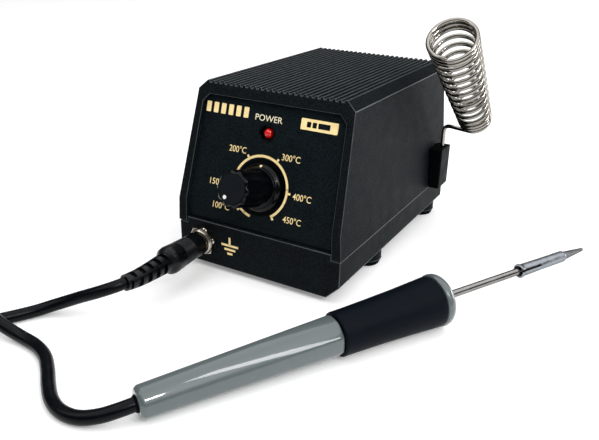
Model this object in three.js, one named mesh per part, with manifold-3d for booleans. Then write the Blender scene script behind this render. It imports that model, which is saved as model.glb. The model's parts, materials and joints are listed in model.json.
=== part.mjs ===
// Temperature-controlled soldering station: two-part case with ribbed cover, knob and
// lamp on a tilted bezel, plug-in soldering iron lying beside it, and a sprung-wire holder.
//
// Millimetres, +Z up. The case is built with its front at y = 0, its middle at x = 0 and
// the table at z = 0; the whole station is shifted at the end so that its origin is the
// middle of the footprint of everything but the free cord.
import * as THREE from 'three';
import { mergeVertices } from 'three/addons/utils/BufferGeometryUtils.js';
import Module from 'manifold-3d';

const wasm = await Module();
wasm.setup();

const GAP = 0.3; // running and resting clearance between separate pieces

// ---- case -----------------------------------------------------------------------------
const CASE_HALF_WIDTH = 47.5;
const CASE_DEPTH = 144;
const SEAM_Z = 24;
const BEND_Z = 36.4; // the front is upright below this height and tilted above it
const TOP_Z = 95.2;
const FRONT_SETBACK = 17.4; // how far the bezel leans back from the bend to the top
const REAR_SETBACK = 8; // how far the rear wall leans forward from the seam to the top
const SIDE_DRAFT = 4.23; // how far each side leans in from the seam to the top
const WALL = 2.4;
const FRONT_WALL = 2;
const TOP_WALL = 3.2;
const EDGE_CHAMFER_X = 4.5;
const EDGE_CHAMFER_Z = 4.35;
const RIBS = 26;
const RIB_DEPTH = 1.1;
const RIB_CREST = 1.2;

const BASE_HALF_WIDTH = 47.1;
const BASE_BOTTOM_Z = 3;
const BASE_CHAMFER = 7;
const BASE_TOP_Z = 23.5;
const BASE_FRONT_Y = 0.3;
const BASE_REAR_Y = 143.7;
const CHIN_HALF_WIDTH = 42.2;
const CHIN_TOP_Z = 26.5;
const TONGUE_TOP_Z = 26.4;

const WINDOW_HALF_WIDTH_LOW = 42.7;
const WINDOW_HALF_WIDTH_HIGH = 40;
const WINDOW_TOP_Z = 88.8;
const WINDOW_CORNER = 3.6;
const PANEL_DEPTH = FRONT_WALL + GAP; // how far the panel's face lies below the bezel
const PANEL_THICKNESS = 1.8;
const PANEL_BOTTOM_Z = CHIN_TOP_Z + GAP;
const PANEL_TOP_Z = 90.6;

const FOOT_X = 37;
const FOOT_FRONT_Y = 52;
const FOOT_REAR_Y = 134;
const FOOT_RADIUS = 8.2;
const FOOT_POCKET = 1;

// ---- controls -------------------------------------------------------------------------
const KNOB_U = 14; // up the bezel from the bend
const KNOB_HEIGHT = 26;
const SKIRT_RADIUS = 11.8;
const FLUTES = 10;
const LAMP_X = -1.7;
const LAMP_U = 40.4;
const LAMP_RADIUS = 2.5;
const LAMP_HOLE_RADIUS = 4.5;
const LAMP_SINK = 2.4; // how far the lamp's widest ring lies behind the panel's face
const PLATE_X = 25.7;
const PLATE_U = 47.9;
const PLATE_SIZE = [19.3, 5.3];

// ---- plug and jack --------------------------------------------------------------------
const JACK_X = -31.5;
const JACK_Z = 16;
const NUT_RADIUS = 8.2;
const NUT_FRONT_Y = -2.6;
const SLEEVE_FRONT_Y = -4.4; // end of the socket's threaded sleeve, which stands out of its nut
const PLUG_RADIUS = 7.2;
const PLUG_BACK_Y = -6;
const PLUG_END_Y = -31;
const BAND_START_Y = -13.3; // the ribbed band round the plug
const BAND_END_Y = -21.5;
const BAND_RIBS = 7;
const SHELL_RADIUS = 5.6;

// ---- cord -----------------------------------------------------------------------------
const CORD_RADIUS = 2.85;
const CORD_SIDES = 10;
const COIL_CENTRE = [-128.2, -110];
const COIL_INNER_RADIUS = 27.2;
const COIL_OUTER_RADIUS = 38.8;
const COIL_HEIGHT = 17.2;
// From the plug's strain relief down to the table and in to the coil.
const LEAD_A = [
  [-33.2, -56.8, 16.5], [-34.5, -60.6, 16.3], [-37.8, -63.9, 15.1], [-43.2, -66.5, 12.8],
  [-49.8, -68.6, 9.9], [-56.3, -70.9, 6.9], [-62.0, -74.4, 4.6], [-66.6, -79.6, 3.2],
  [-70.6, -86.0, 2.9], [-74.8, -93.0, 2.9], [-79.4, -100.2, 2.9], [-85.9, -110.1, 2.9],
];
// From the coil's top layer across the first lead and round to the iron.
const LEAD_B = [
  [-88.6, -94.3, 11.8], [-81.9, -96.4, 10.4], [-73.6, -97.9, 8.8], [-65.3, -98.4, 6.2],
  [-56.0, -97.7, 3.7],
  [-45.2, -98.3, 2.9], [-35.9, -101.6, 2.9], [-27.6, -107.4, 2.9], [-19.8, -113.8, 2.9],
  [-12.0, -119.2, 2.9], [-3.9, -122.0, 2.9], [4.4, -121.6, 3.4], [11.4, -118.2, 4.7],
  [16.4, -113.5, 6.1], [19.3, -109.55, 6.79],
];

// ---- iron -----------------------------------------------------------------------------
const IRON_BUTT = [20.08, -108.27, 6.92];
const IRON_DIRECTION = new THREE.Vector3(0.5087, 0.8601, 0.0383).normalize();
const HANDLE_BUTT_RADIUS = 6.6;
const HANDLE_FRONT_RADIUS = 8.9;
const GRIP_START = 84.7; // distances along the iron, from the butt
const GRIP_END = 136.4;
const COLLAR_END = 142.2;
const TUBE_END = 212;
const TUBE_RADIUS = 1.75;
const TIP_START = 190;
const TIP_SHOULDER = 221;
const TIP_END = 235.6;
const TIP_RADIUS = 2.85;

// ---- holder ---------------------------------------------------------------------------
const WIRE_RADIUS = 1.15;
const BRACKET_Y = [114.5, 130];
const BRACKET_Z = [24.4, 48.4];
const BRACKET_OUTER_X = 54.2;
const LEG_X = 51.2;
const LEG_Y = 123.2;
const LEG_BOTTOM_Z = 29;
const COIL_LOW = new THREE.Vector3(67.9, 126, 66.6);
const COIL_MOUTH = new THREE.Vector3(65.5, 74, 117.9);
const COIL_LOW_RADIUS = 8.3;
const COIL_MOUTH_RADIUS = 11.9;
const HOLDER_TURNS = 15;

// ---- rear panel and inside ------------------------------------------------------------
const REAR_WINDOW = { x: 34, low: 9, high: 57 };
const INLET = { x: -15, u: 33 };
const ROCKER = { x: 19, u: 33 };
const TRANSFORMER_Y = 89;
const CORE = { width: 60, height: 50, stack: 34, foot: 8.8 };
const BOARD = { x: [-24, 40], y: [25, 58], z: 13, thickness: 1.6 };

// ======================================================================================
// Solids
// ======================================================================================

function toSolid(geometry) {
  const bare = geometry.clone();
  bare.deleteAttribute('normal');
  bare.deleteAttribute('uv');
  const welded = mergeVertices(bare, 1e-4);
  return new wasm.Manifold(new wasm.Mesh({
    numProp: 3,
    vertProperties: new Float32Array(welded.attributes.position.array),
    triVerts: new Uint32Array(welded.index.array),
  }));
}

function toGeometry(solid) {
  const mesh = solid.getMesh();
  const geometry = new THREE.BufferGeometry();
  geometry.setAttribute('position', new THREE.BufferAttribute(mesh.vertProperties, 3));
  geometry.setIndex(new THREE.BufferAttribute(mesh.triVerts, 1));
  geometry.computeVertexNormals();
  return geometry;
}

function carve(base, cutters, additions = []) {
  let solid = toSolid(base);
  for (const piece of additions) {
    solid = solid.add(toSolid(piece));
  }
  for (const piece of cutters) {
    solid = solid.subtract(toSolid(piece));
  }
  return toGeometry(solid);
}

function common(first, ...others) {
  let solid = toSolid(first);
  for (const piece of others) {
    solid = solid.intersect(toSolid(piece));
  }
  return toGeometry(solid);
}

function extrude(points, depth) {
  const shape = new THREE.Shape(points.map(([a, b]) => new THREE.Vector2(a, b)));
  return new THREE.ExtrudeGeometry(shape, { depth, bevelEnabled: false, steps: 1 });
}

// Outline in x and z, running along y.
function alongY(points, from, to) {
  return extrude(points, to - from).rotateX(Math.PI / 2).translate(0, to, 0);
}

// Outline in y and z, running along x.
function alongX(points, from, to) {
  const turn = new THREE.Matrix4().makeBasis(
    new THREE.Vector3(0, 1, 0), new THREE.Vector3(0, 0, 1), new THREE.Vector3(1, 0, 0));
  return extrude(points, to - from).applyMatrix4(turn).translate(from, 0, 0);
}

function block([x0, x1], [y0, y1], [z0, z1]) {
  const box = new THREE.BoxGeometry(x1 - x0, y1 - y0, z1 - z0);
  return box.translate((x0 + x1) / 2, (y0 + y1) / 2, (z0 + z1) / 2);
}

// Round bar along y.
function barY(radius, from, to, x = 0, z = 0, sides = 20) {
  const bar = new THREE.CylinderGeometry(radius, radius, to - from, sides);
  return bar.translate(x, (from + to) / 2, z);
}

// Round bar along z.
function barZ(radius, from, to, x = 0, y = 0, sides = 12) {
  const bar = new THREE.CylinderGeometry(radius, radius, to - from, sides);
  return bar.rotateX(Math.PI / 2).translate(x, y, (from + to) / 2);
}

// Round bar along x.
function barX(radius, from, to, y = 0, z = 0, sides = 12) {
  const bar = new THREE.CylinderGeometry(radius, radius, to - from, sides);
  return bar.rotateZ(Math.PI / 2).translate((from + to) / 2, y, z);
}

// Turned shape about y; the profile lists [radius, y] pairs.
function turned(profile, sides = 24) {
  const rising = profile[0][1] <= profile[profile.length - 1][1] ? profile : [...profile].reverse();
  return new THREE.LatheGeometry(rising.map(([r, y]) => new THREE.Vector2(r, y)), sides);
}

// Closed profile turned about y, for rings and tubes.
function ring(inner, outer, from, to, sides = 20) {
  return turnedLoop([[inner, from], [outer, from], [outer, to], [inner, to]], sides);
}

function turnedLoop(profile, sides = 24) {
  const points = [...profile, profile[0]].map(([r, y]) => new THREE.Vector2(r, y));
  return new THREE.LatheGeometry(points, sides);
}

function regular(radius, sides, phase = 0) {
  const points = [];
  for (let i = 0; i < sides; i += 1) {
    const angle = phase + (i / sides) * 2 * Math.PI;
    points.push([radius * Math.cos(angle), radius * Math.sin(angle)]);
  }
  return points;
}

// Tapered bar of round section along a list of centres, with a radius for each.
function tapered(centres, radii, sides = 16) {
  const curve = new THREE.CatmullRomCurve3(centres.map((p) => new THREE.Vector3(...p)));
  const steps = centres.length - 1;
  const frames = curve.computeFrenetFrames(steps, false);
  const positions = [];
  const index = [];
  centres.forEach((centre, step) => {
    for (let side = 0; side < sides; side += 1) {
      const angle = (side / sides) * 2 * Math.PI;
      const point = new THREE.Vector3(...centre)
        .addScaledVector(frames.normals[step], radii[step] * Math.cos(angle))
        .addScaledVector(frames.binormals[step], radii[step] * Math.sin(angle));
      positions.push(point.x, point.y, point.z);
    }
  });
  for (let step = 0; step < steps; step += 1) {
    for (let side = 0; side < sides; side += 1) {
      const a = step * sides + side;
      const b = step * sides + ((side + 1) % sides);
      index.push(a, b, a + sides, b, b + sides, a + sides);
    }
  }
  for (let side = 1; side < sides - 1; side += 1) {
    const last = steps * sides;
    index.push(0, side + 1, side, last, last + side, last + side + 1);
  }
  const geometry = new THREE.BufferGeometry();
  geometry.setAttribute('position', new THREE.Float32BufferAttribute(positions, 3));
  geometry.setIndex(index);
  geometry.computeVertexNormals();
  return geometry;
}

// Round tube of constant section along a smooth curve.
function swept(points, radius, sides, steps) {
  const path = new THREE.CatmullRomCurve3(points.map((p) => new THREE.Vector3(...p)));
  const section = new THREE.Shape(regular(radius, sides).map(([a, b]) => new THREE.Vector2(a, b)));
  return new THREE.ExtrudeGeometry(section, { steps, bevelEnabled: false, extrudePath: path });
}

// ======================================================================================
// Materials and scene graph
// ======================================================================================

const LOOKS = {
  abs: { color: 0x1b1e20, roughness: 0.62, metalness: 0 },
  panel: { color: 0x14171a, roughness: 0.5, metalness: 0 },
  rubber: { color: 0x101112, roughness: 0.85, metalness: 0 },
  gloss: { color: 0x0c0d0e, roughness: 0.12, metalness: 0 },
  cord: { color: 0x121314, roughness: 0.35, metalness: 0 },
  grey: { color: 0x7d8f8d, roughness: 0.25, metalness: 0 },
  steel: { color: 0xb9bcbe, roughness: 0.22, metalness: 1 },
  nickel: { color: 0xb4afa3, roughness: 0.3, metalness: 1 },
  iron: { color: 0x5a5c5f, roughness: 0.55, metalness: 1 },
  gold: { color: 0xd9b26a, roughness: 0.4, metalness: 0.2 },
  red: { color: 0xa3121a, roughness: 0.15, metalness: 0 },
  copper: { color: 0xb06a35, roughness: 0.4, metalness: 1 },
  board: { color: 0x23563a, roughness: 0.5, metalness: 0 },
  ceramic: { color: 0xe8e4da, roughness: 0.5, metalness: 0 },
  aluminium: { color: 0xa6a9ab, roughness: 0.4, metalness: 1 },
};

function addTo(parent, name, look, geometry) {
  const mesh = new THREE.Mesh(geometry, new THREE.MeshStandardMaterial(LOOKS[look]));
  mesh.name = name;
  parent.add(mesh);
  return mesh;
}

const station = new THREE.Group(); // everything but the free cord
const cord = new THREE.Group();

const TILT = Math.atan2(FRONT_SETBACK, TOP_Z - BEND_Z);
const LEAN = Math.atan2(REAR_SETBACK, TOP_Z - SEAM_Z);

// The bezel's own frame: x across, y into the case, z up the slope from the bend.
const bezel = new THREE.Group();
bezel.position.set(0, 0, BEND_Z);
bezel.rotation.x = -TILT;
bezel.updateMatrix();
station.add(bezel);

// The rear wall's own frame: x across, y out of the case, z up the wall from the seam.
const rear = new THREE.Group();
rear.position.set(0, CASE_DEPTH, SEAM_Z);
rear.rotation.x = LEAN;
rear.updateMatrix();
station.add(rear);

function onBezel(geometry) {
  return geometry.applyMatrix4(bezel.matrix);
}

function onRear(geometry) {
  return geometry.applyMatrix4(rear.matrix);
}

// ======================================================================================
// Case
// ======================================================================================

function sideX(z, inset = 0) {
  return CASE_HALF_WIDTH - SIDE_DRAFT * (z - SEAM_Z) / (TOP_Z - SEAM_Z) - inset;
}

function rearY(z, inset = 0) {
  return CASE_DEPTH - Math.tan(LEAN) * (z - SEAM_Z) - inset;
}

// Front surface in side view from one height to another, sunk by an inset.
function frontLine(inset, fromZ, toZ) {
  const bendZ = BEND_Z - inset * Math.tan(TILT / 2);
  return [[inset, fromZ], [inset, bendZ], [inset + (toZ - bendZ) * Math.tan(TILT), toZ]];
}

function ribbedTop() {
  const half = sideX(TOP_Z) - EDGE_CHAMFER_X;
  const pitch = (2 * half - RIB_CREST) / (RIBS - 1);
  const points = [];
  for (let i = 0; i < RIBS; i += 1) {
    const right = half - i * pitch;
    const left = right - RIB_CREST;
    points.push([right, TOP_Z], [left, TOP_Z]);
    if (i < RIBS - 1) {
      points.push([left - 0.35, TOP_Z - RIB_DEPTH], [right - pitch + 0.35, TOP_Z - RIB_DEPTH]);
    }
  }
  return points;
}

function coverBody() {
  const shoulderZ = TOP_Z - EDGE_CHAMFER_Z;
  const section = [
    [-sideX(SEAM_Z), SEAM_Z], [sideX(SEAM_Z), SEAM_Z], [sideX(shoulderZ), shoulderZ],
    ...ribbedTop(), [-sideX(shoulderZ), shoulderZ],
  ];
  const profile = [...frontLine(0, SEAM_Z, TOP_Z), [rearY(TOP_Z), TOP_Z], [rearY(SEAM_Z), SEAM_Z]];
  return common(alongY(section, -1, CASE_DEPTH + 1), alongX(profile, -60, 60));
}

function coverHollow() {
  const lowZ = SEAM_Z - 1;
  const highZ = TOP_Z - TOP_WALL;
  const shoulderZ = TOP_Z - EDGE_CHAMFER_Z - 1.2;
  const section = [
    [-sideX(lowZ, WALL), lowZ], [sideX(lowZ, WALL), lowZ], [sideX(shoulderZ, WALL), shoulderZ],
    [sideX(TOP_Z, WALL + 3.4), highZ], [-sideX(TOP_Z, WALL + 3.4), highZ],
    [-sideX(shoulderZ, WALL), shoulderZ],
  ];
  const profile = [
    ...frontLine(FRONT_WALL, lowZ, highZ), [rearY(highZ, WALL), highZ], [rearY(lowZ, WALL), lowZ],
  ];
  return common(alongY(section, 0, CASE_DEPTH), alongX(profile, -60, 60));
}

function windowOutline(grow = 0) {
  const low = WINDOW_HALF_WIDTH_LOW + grow;
  const high = WINDOW_HALF_WIDTH_HIGH + grow;
  const top = WINDOW_TOP_Z + grow;
  return [
    [-low, SEAM_Z - 2], [low, SEAM_Z - 2], [high, top - WINDOW_CORNER],
    [high - WINDOW_CORNER, top], [-high + WINDOW_CORNER, top], [-high, top - WINDOW_CORNER],
  ];
}

const POSTS = [[-39.5, 20], [39.5, 20], [-39.5, 108], [39.5, 108]];
const POST_SPLIT_Z = 26;

function topCover() {
  const posts = POSTS.map(([x, y]) => barZ(3.4, POST_SPLIT_Z + GAP, 60, x, y));
  const ties = POSTS.map(([x, y]) => {
    const side = Math.sign(x);
    const xs = [x, side * (sideX(60) - WALL / 2)].sort((a, b) => a - b);
    return block(xs, [y - 1, y + 1], [POST_SPLIT_Z + GAP + 2, 60]);
  });
  const pilots = POSTS.map(([x, y]) => barZ(1.8, 20, 46, x, y, 12));
  const rearWindow = onRear(block(
    [-REAR_WINDOW.x, REAR_WINDOW.x], [-6, 3], [REAR_WINDOW.low, REAR_WINDOW.high]));
  const wallHoles = HOLDER_SCREW_Z.map((z) => barX(1.8, 40, 50, HOLDER_SCREW_Y, z));
  return carve(
    carve(coverBody(), [coverHollow(), alongY(windowOutline(), -2, 26)]),
    [...pilots, rearWindow, ...wallHoles],
    [...posts, ...ties]);
}

function frontPanel() {
  const face = frontLine(PANEL_DEPTH, PANEL_BOTTOM_Z, PANEL_TOP_Z);
  const back = frontLine(PANEL_DEPTH + PANEL_THICKNESS, PANEL_BOTTOM_Z, PANEL_TOP_Z);
  const sheet = alongX([...face, ...back.reverse()], -46, 46);
  const inset = WALL + GAP;
  const outline = [
    [-sideX(PANEL_BOTTOM_Z, inset), PANEL_BOTTOM_Z - 1],
    [sideX(PANEL_BOTTOM_Z, inset), PANEL_BOTTOM_Z - 1],
    [sideX(PANEL_TOP_Z, inset + 1.5), PANEL_TOP_Z + 1],
    [-sideX(PANEL_TOP_Z, inset + 1.5), PANEL_TOP_Z + 1],
  ];
  const [plateWidth, plateHeight] = PLATE_SIZE;
  const pocket = block(
    [PLATE_X - plateWidth / 2 - GAP, PLATE_X + plateWidth / 2 + GAP],
    [PANEL_DEPTH - 1, PANEL_DEPTH + 0.8],
    [PLATE_U - plateHeight / 2 - GAP, PLATE_U + plateHeight / 2 + GAP]);
  return carve(common(sheet, alongY(outline, 0, 30)), [
    onBezel(barY(LAMP_HOLE_RADIUS, 0, 8, LAMP_X, LAMP_U)),
    onBezel(barY(3.8, 0, 8, 0, KNOB_U)),
    onBezel(pocket),
  ]);
}

function baseOutline(half, bottom, top, chamfer) {
  return [
    [-half, top], [-half, bottom + chamfer], [-half + chamfer, bottom],
    [half - chamfer, bottom], [half, bottom + chamfer], [half, top],
  ].reverse();
}

function footPads() {
  const pads = [];
  for (const [x, y] of feetPlaces()) {
    pads.push(barZ(FOOT_RADIUS + 0.5, BASE_BOTTOM_Z, 11, x, y, 20));
  }
  return pads;
}

function feetPlaces() {
  return [
    [-FOOT_X, FOOT_FRONT_Y], [FOOT_X, FOOT_FRONT_Y], [-FOOT_X, FOOT_REAR_Y], [FOOT_X, FOOT_REAR_Y],
  ];
}

function baseTray() {
  const floorZ = BASE_BOTTOM_Z + WALL;
  const shell = alongY(
    baseOutline(BASE_HALF_WIDTH, BASE_BOTTOM_Z, BASE_TOP_Z, BASE_CHAMFER), BASE_FRONT_Y, BASE_REAR_Y);
  const hollow = alongY(
    baseOutline(BASE_HALF_WIDTH - WALL, floorZ, BASE_TOP_Z + 9, BASE_CHAMFER - 1),
    BASE_FRONT_Y + WALL, BASE_REAR_Y - WALL);
  const chin = block(
    [-CHIN_HALF_WIDTH, CHIN_HALF_WIDTH], [BASE_FRONT_Y, BASE_FRONT_Y + WALL],
    [BASE_TOP_Z - 1, CHIN_TOP_Z]);
  const tongueX = sideX(SEAM_Z, WALL) - GAP;
  const tongueRear = rearY(TONGUE_TOP_Z, WALL) - GAP;
  const tongue = [-1, 1].map((side) => {
    const xs = [side * tongueX, side * (tongueX - 1.3)].sort((a, b) => a - b);
    return block(xs, [8, tongueRear], [BASE_TOP_Z - 6, TONGUE_TOP_Z]);
  });
  tongue.push(block([-tongueX, tongueX], [tongueRear - 1.3, tongueRear], [BASE_TOP_Z - 6, TONGUE_TOP_Z]));
  const posts = POSTS.map(([x, y]) => barZ(3.4, floorZ - 1, POST_SPLIT_Z, x, y));
  const boardPosts = boardCorners().map(([x, y]) => barZ(2.6, floorZ - 1, BOARD.z - GAP, x, y, 12));
  const [lowZ, highZ] = [BASE_BOTTOM_Z - 1, BASE_TOP_Z + 20];
  const cutters = [
    ...POSTS.map(([x, y]) => barZ(1.8, lowZ, highZ, x, y, 12)),
    ...POSTS.map(([x, y]) => barZ(3.1, lowZ, floorZ + 0.6, x, y)),
    ...feetPlaces().map(([x, y]) => barZ(FOOT_RADIUS + GAP, lowZ, BASE_BOTTOM_Z + FOOT_POCKET, x, y, 20)),
    barY(6.9, -1, 6, JACK_X, JACK_Z),
    ...transformerScrews().map(([x, y]) => barZ(1.6, 4.2, 12, x, y, 12)),
  ];
  const pads = common(
    alongY(baseOutline(BASE_HALF_WIDTH - 0.6, BASE_BOTTOM_Z, 12, 0.5), 20, BASE_REAR_Y),
    toGeometry(footPads().map(toSolid).reduce((a, b) => a.add(b))));
  const seats = transformerScrews().map(([x, y]) => barZ(4, floorZ - 1, floorZ + 1.2, x, y, 12));
  return carve(carve(shell, [hollow]), cutters, [chin, ...tongue, ...posts, ...boardPosts, pads, ...seats]);
}

function foot() {
  const rim = 1.2;
  const top = BASE_BOTTOM_Z + FOOT_POCKET - GAP;
  return turned([
    [0, 0], [FOOT_RADIUS - rim, 0], [FOOT_RADIUS - rim * 0.3, rim * 0.3], [FOOT_RADIUS, rim],
    [FOOT_RADIUS, top], [0, top],
  ], 20).rotateX(Math.PI / 2);
}

function caseScrew() {
  const headTop = BASE_BOTTOM_Z + WALL + 0.2;
  return turned([
    [0, headTop - 1.8], [2.7, headTop - 1.8], [2.7, headTop], [1.45, headTop],
    [1.45, 44], [0, 44],
  ], 10).rotateX(Math.PI / 2);
}

addTo(station, 'base_tray', 'abs', baseTray());
const FEET = ['front_left', 'front_right', 'rear_left', 'rear_right'];
feetPlaces().forEach(([x, y], i) => {
  addTo(station, `foot_${FEET[i]}`, 'rubber', foot()).position.set(x, y, 0);
});
POSTS.forEach(([x, y], i) => {
  addTo(station, `case_screw_${i + 1}`, 'steel', caseScrew()).position.set(x, y, 0);
});

// ======================================================================================
// Controls on the bezel
// ======================================================================================

// A cup behind the panel, open at the front, with the lamp's stem through its floor.
function lampHolder() {
  const back = PANEL_DEPTH + PANEL_THICKNESS + GAP;
  const floor = PANEL_DEPTH + LAMP_SINK + 0.4;
  const stem = LAMP_RADIUS + GAP;
  const rim = LAMP_HOLE_RADIUS - GAP;
  return turnedLoop([
    [rim - 0.4, PANEL_DEPTH + 0.1], [rim, PANEL_DEPTH + 0.1], [rim, back], [rim + 1.2, back],
    [rim + 1.2, floor + 1.2], [stem + 0.9, floor + 3.5], [stem, floor + 3.5], [stem, floor],
    [rim - 0.4, floor],
  ], 24);
}

function lampLens() {
  const widest = PANEL_DEPTH + LAMP_SINK;
  const profile = [[0, widest + 6.4], [LAMP_RADIUS - 0.1, widest + 6.4], [LAMP_RADIUS, widest]];
  const arcs = 5;
  for (let i = 1; i <= arcs; i += 1) {
    const angle = (i / arcs) * (Math.PI / 2);
    profile.push([LAMP_RADIUS * Math.cos(angle), widest - LAMP_RADIUS * Math.sin(angle)]);
  }
  profile[profile.length - 1][0] = 0;
  return turned(profile, 20);
}

function potBody() {
  return turnedLoop([
    [3.3, 15], [3.3, -0.4], [3.5, -0.4], [3.5, 4.4], [8.2, 4.4], [8.2, 15],
  ], 24);
}

function potShaft() {
  return barY(3, -13, 14, 0, 0, 16);
}

function potNut() {
  const hexagon = alongY(regular(5.5, 6), PANEL_DEPTH - GAP - 2, PANEL_DEPTH - GAP);
  return carve(hexagon, [barY(3.8, -4, 8)]);
}

function knobBody() {
  const face = PANEL_DEPTH - KNOB_HEIGHT;
  const outline = [];
  const samples = FLUTES * 6;
  for (let i = 0; i < samples; i += 1) {
    const angle = (i / samples) * 2 * Math.PI;
    const radius = 8.5 + 0.45 * Math.cos(FLUTES * angle);
    outline.push([radius * Math.cos(angle), radius * Math.sin(angle)]);
  }
  const barrel = alongY(outline, face, -1);
  const skirt = turned([
    [0, 1.4], [SKIRT_RADIUS - 0.3, 1.4], [SKIRT_RADIUS, 1], [SKIRT_RADIUS, 0], [9.4, -2.4], [0, -2.4],
  ], 40);
  return carve(skirt, [
    barY(8.6, -1.2, 3, 0, 0, 24),
    barY(3.3, -14, 3, 0, 0, 16),
    barY(7.9, face - 1, face + 1.5, 0, 0, 32),
  ], [barrel]);
}

function knobCap() {
  const face = PANEL_DEPTH - KNOB_HEIGHT;
  return barY(7.5, face + 0.3, face + 1.5 - GAP, 0, 0, 32);
}

addTo(station, 'front_panel', 'panel', frontPanel());
const [plateWidth, plateHeight] = PLATE_SIZE;
addTo(bezel, 'nameplate', 'gold', new THREE.BoxGeometry(plateWidth, 0.6, plateHeight))
  .position.set(PLATE_X, PANEL_DEPTH + 0.2, PLATE_U);

const lamp = new THREE.Group();
lamp.position.set(LAMP_X, 0, LAMP_U);
bezel.add(lamp);
addTo(lamp, 'lamp_holder', 'gloss', lampHolder());
addTo(lamp, 'lamp_lens', 'red', lampLens());

const control = new THREE.Group();
control.position.set(0, 0, KNOB_U);
bezel.add(control);
addTo(control, 'pot_body', 'steel', potBody());
addTo(control, 'pot_nut', 'nickel', potNut());
addTo(control, 'pot_shaft', 'aluminium', potShaft());
addTo(control, 'knob_body', 'gloss', knobBody());
addTo(control, 'knob_cap', 'panel', knobCap());

// ======================================================================================
// Jack in the chin and the plug in it
// ======================================================================================

const jack = new THREE.Group();
jack.position.set(JACK_X, 0, JACK_Z);
station.add(jack);

const PIN_PLACES = regular(3.3, 3, Math.PI / 6);
const PIN_RADIUS = 0.75;

function jackBody() {
  const shell = turned([
    [0, SLEEVE_FRONT_Y], [6.2, SLEEVE_FRONT_Y], [6.6, SLEEVE_FRONT_Y + 0.4],
    [6.6, BASE_FRONT_Y + WALL + GAP],
    [8.4, BASE_FRONT_Y + WALL + GAP], [8.4, 12], [0, 12],
  ], 20);
  const socket = ring(4.4, SHELL_RADIUS + GAP, SLEEVE_FRONT_Y - 1, 7.5);
  const mouth = barY(4.6, SLEEVE_FRONT_Y - 1, -1);
  const holes = PIN_PLACES.map(([x, z]) => barY(PIN_RADIUS + GAP, -2, 7.5, x, z, 10));
  return carve(shell, [socket, mouth, ...holes]);
}

function jackNut() {
  const phase = THREE.MathUtils.degToRad(12);
  const hexagon = alongY(regular(NUT_RADIUS, 6, phase), NUT_FRONT_Y, BASE_FRONT_Y - GAP);
  return carve(hexagon, [barY(6.9, NUT_FRONT_Y - 1, 1)]);
}

// Narrow at its rim, with a ribbed band for the fingers, and widest before its shoulder.
function plugBody() {
  const profile = [[0, PLUG_BACK_Y], [6.1, PLUG_BACK_Y], [6.45, PLUG_BACK_Y - 0.4], [6.1, BAND_START_Y]];
  const pitch = (BAND_START_Y - BAND_END_Y) / BAND_RIBS;
  for (let i = 0; i < BAND_RIBS; i += 1) {
    const y = BAND_START_Y - i * pitch;
    const crest = 6.3 + 0.06 * i;
    profile.push([crest, y - 0.1], [crest, y - pitch * 0.55], [crest - 0.25, y - pitch * 0.7]);
    profile.push([crest - 0.25, y - pitch * 0.95]);
  }
  profile.push([6.75, BAND_END_Y - 0.1], [PLUG_RADIUS, PLUG_END_Y + 3]);
  profile.push([PLUG_RADIUS - 0.4, PLUG_END_Y + 1.2], [PLUG_RADIUS - 2, PLUG_END_Y], [0, PLUG_END_Y]);
  const bore = barY(4.9, PLUG_BACK_Y - 6, PLUG_BACK_Y + 1);
  return carve(turned(profile, 20), [bore]);
}

function plugShell() {
  return ring(4.9, SHELL_RADIUS, PLUG_BACK_Y + GAP, 6.6);
}

function plugInsert() {
  const plate = barY(4.5, PLUG_BACK_Y - 5.6, PLUG_BACK_Y - 0.4);
  return carve(plate, PIN_PLACES.map(([x, z]) => barY(PIN_RADIUS + 0.1, -12, 3, x, z, 10)));
}

function plugRelief() {
  const start = PLUG_END_Y - GAP;
  const [first, second] = [LEAD_A[0], LEAD_A[1]].map((p) => new THREE.Vector3(...p));
  const end = first.clone().addScaledVector(first.clone().sub(second).normalize(), GAP + 0.1);
  const centres = [];
  const radii = [];
  const stations = 22;
  for (let i = 0; i <= stations; i += 1) {
    const t = i / stations;
    const bend = t ** 4;
    const x = (end.x - JACK_X) * bend;
    const z = (end.z - JACK_Z) * bend;
    centres.push([x, start + (end.y - start) * t, z]);
    const grooved = i > 3 && i < stations - 1 && i % 3 === 0;
    radii.push(5.1 - 1.2 * t - (grooved ? 0.6 : 0));
  }
  return tapered(centres, radii, 12);
}

addTo(jack, 'jack_body', 'nickel', jackBody());
addTo(jack, 'jack_nut', 'nickel', jackNut());

const plug = new THREE.Group();
plug.position.copy(jack.position);
cord.add(plug);
addTo(plug, 'plug_body', 'cord', plugBody());
addTo(plug, 'plug_shell', 'nickel', plugShell());
addTo(plug, 'plug_insert', 'panel', plugInsert());
PIN_PLACES.forEach(([x, z], i) => {
  addTo(plug, `plug_pin_${i + 1}`, 'nickel', barY(PIN_RADIUS, PLUG_BACK_Y - 5.2, 5.6, x, z, 8));
});
addTo(plug, 'plug_relief', 'cord', plugRelief());

// ======================================================================================
// Cord
// ======================================================================================

function cordCoil() {
  const layer = 2 * CORD_RADIUS;
  const inner = COIL_INNER_RADIUS;
  const outer = COIL_OUTER_RADIUS;
  const topInner = inner + CORD_RADIUS;
  const topOuter = outer - CORD_RADIUS;
  return turnedLoop([
    [inner, 0.05], [outer, 0.05], [outer, 2 * layer], [topOuter, COIL_HEIGHT],
    [topInner, COIL_HEIGHT], [inner, 2 * layer],
  ], 36).rotateX(Math.PI / 2);
}

// A strap over the coil, open underneath where the turns press it to the table.
function cordTie() {
  const inner = COIL_INNER_RADIUS - 1;
  const outer = COIL_OUTER_RADIUS + 1;
  const thickness = 1;
  const over = block([inner - thickness, outer + thickness], [-5, 5], [0.1, COIL_HEIGHT + 0.6 + thickness]);
  const under = block([inner, outer], [-6, 6], [-1, COIL_HEIGHT + 0.6]);
  return carve(over, [under]);
}

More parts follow.
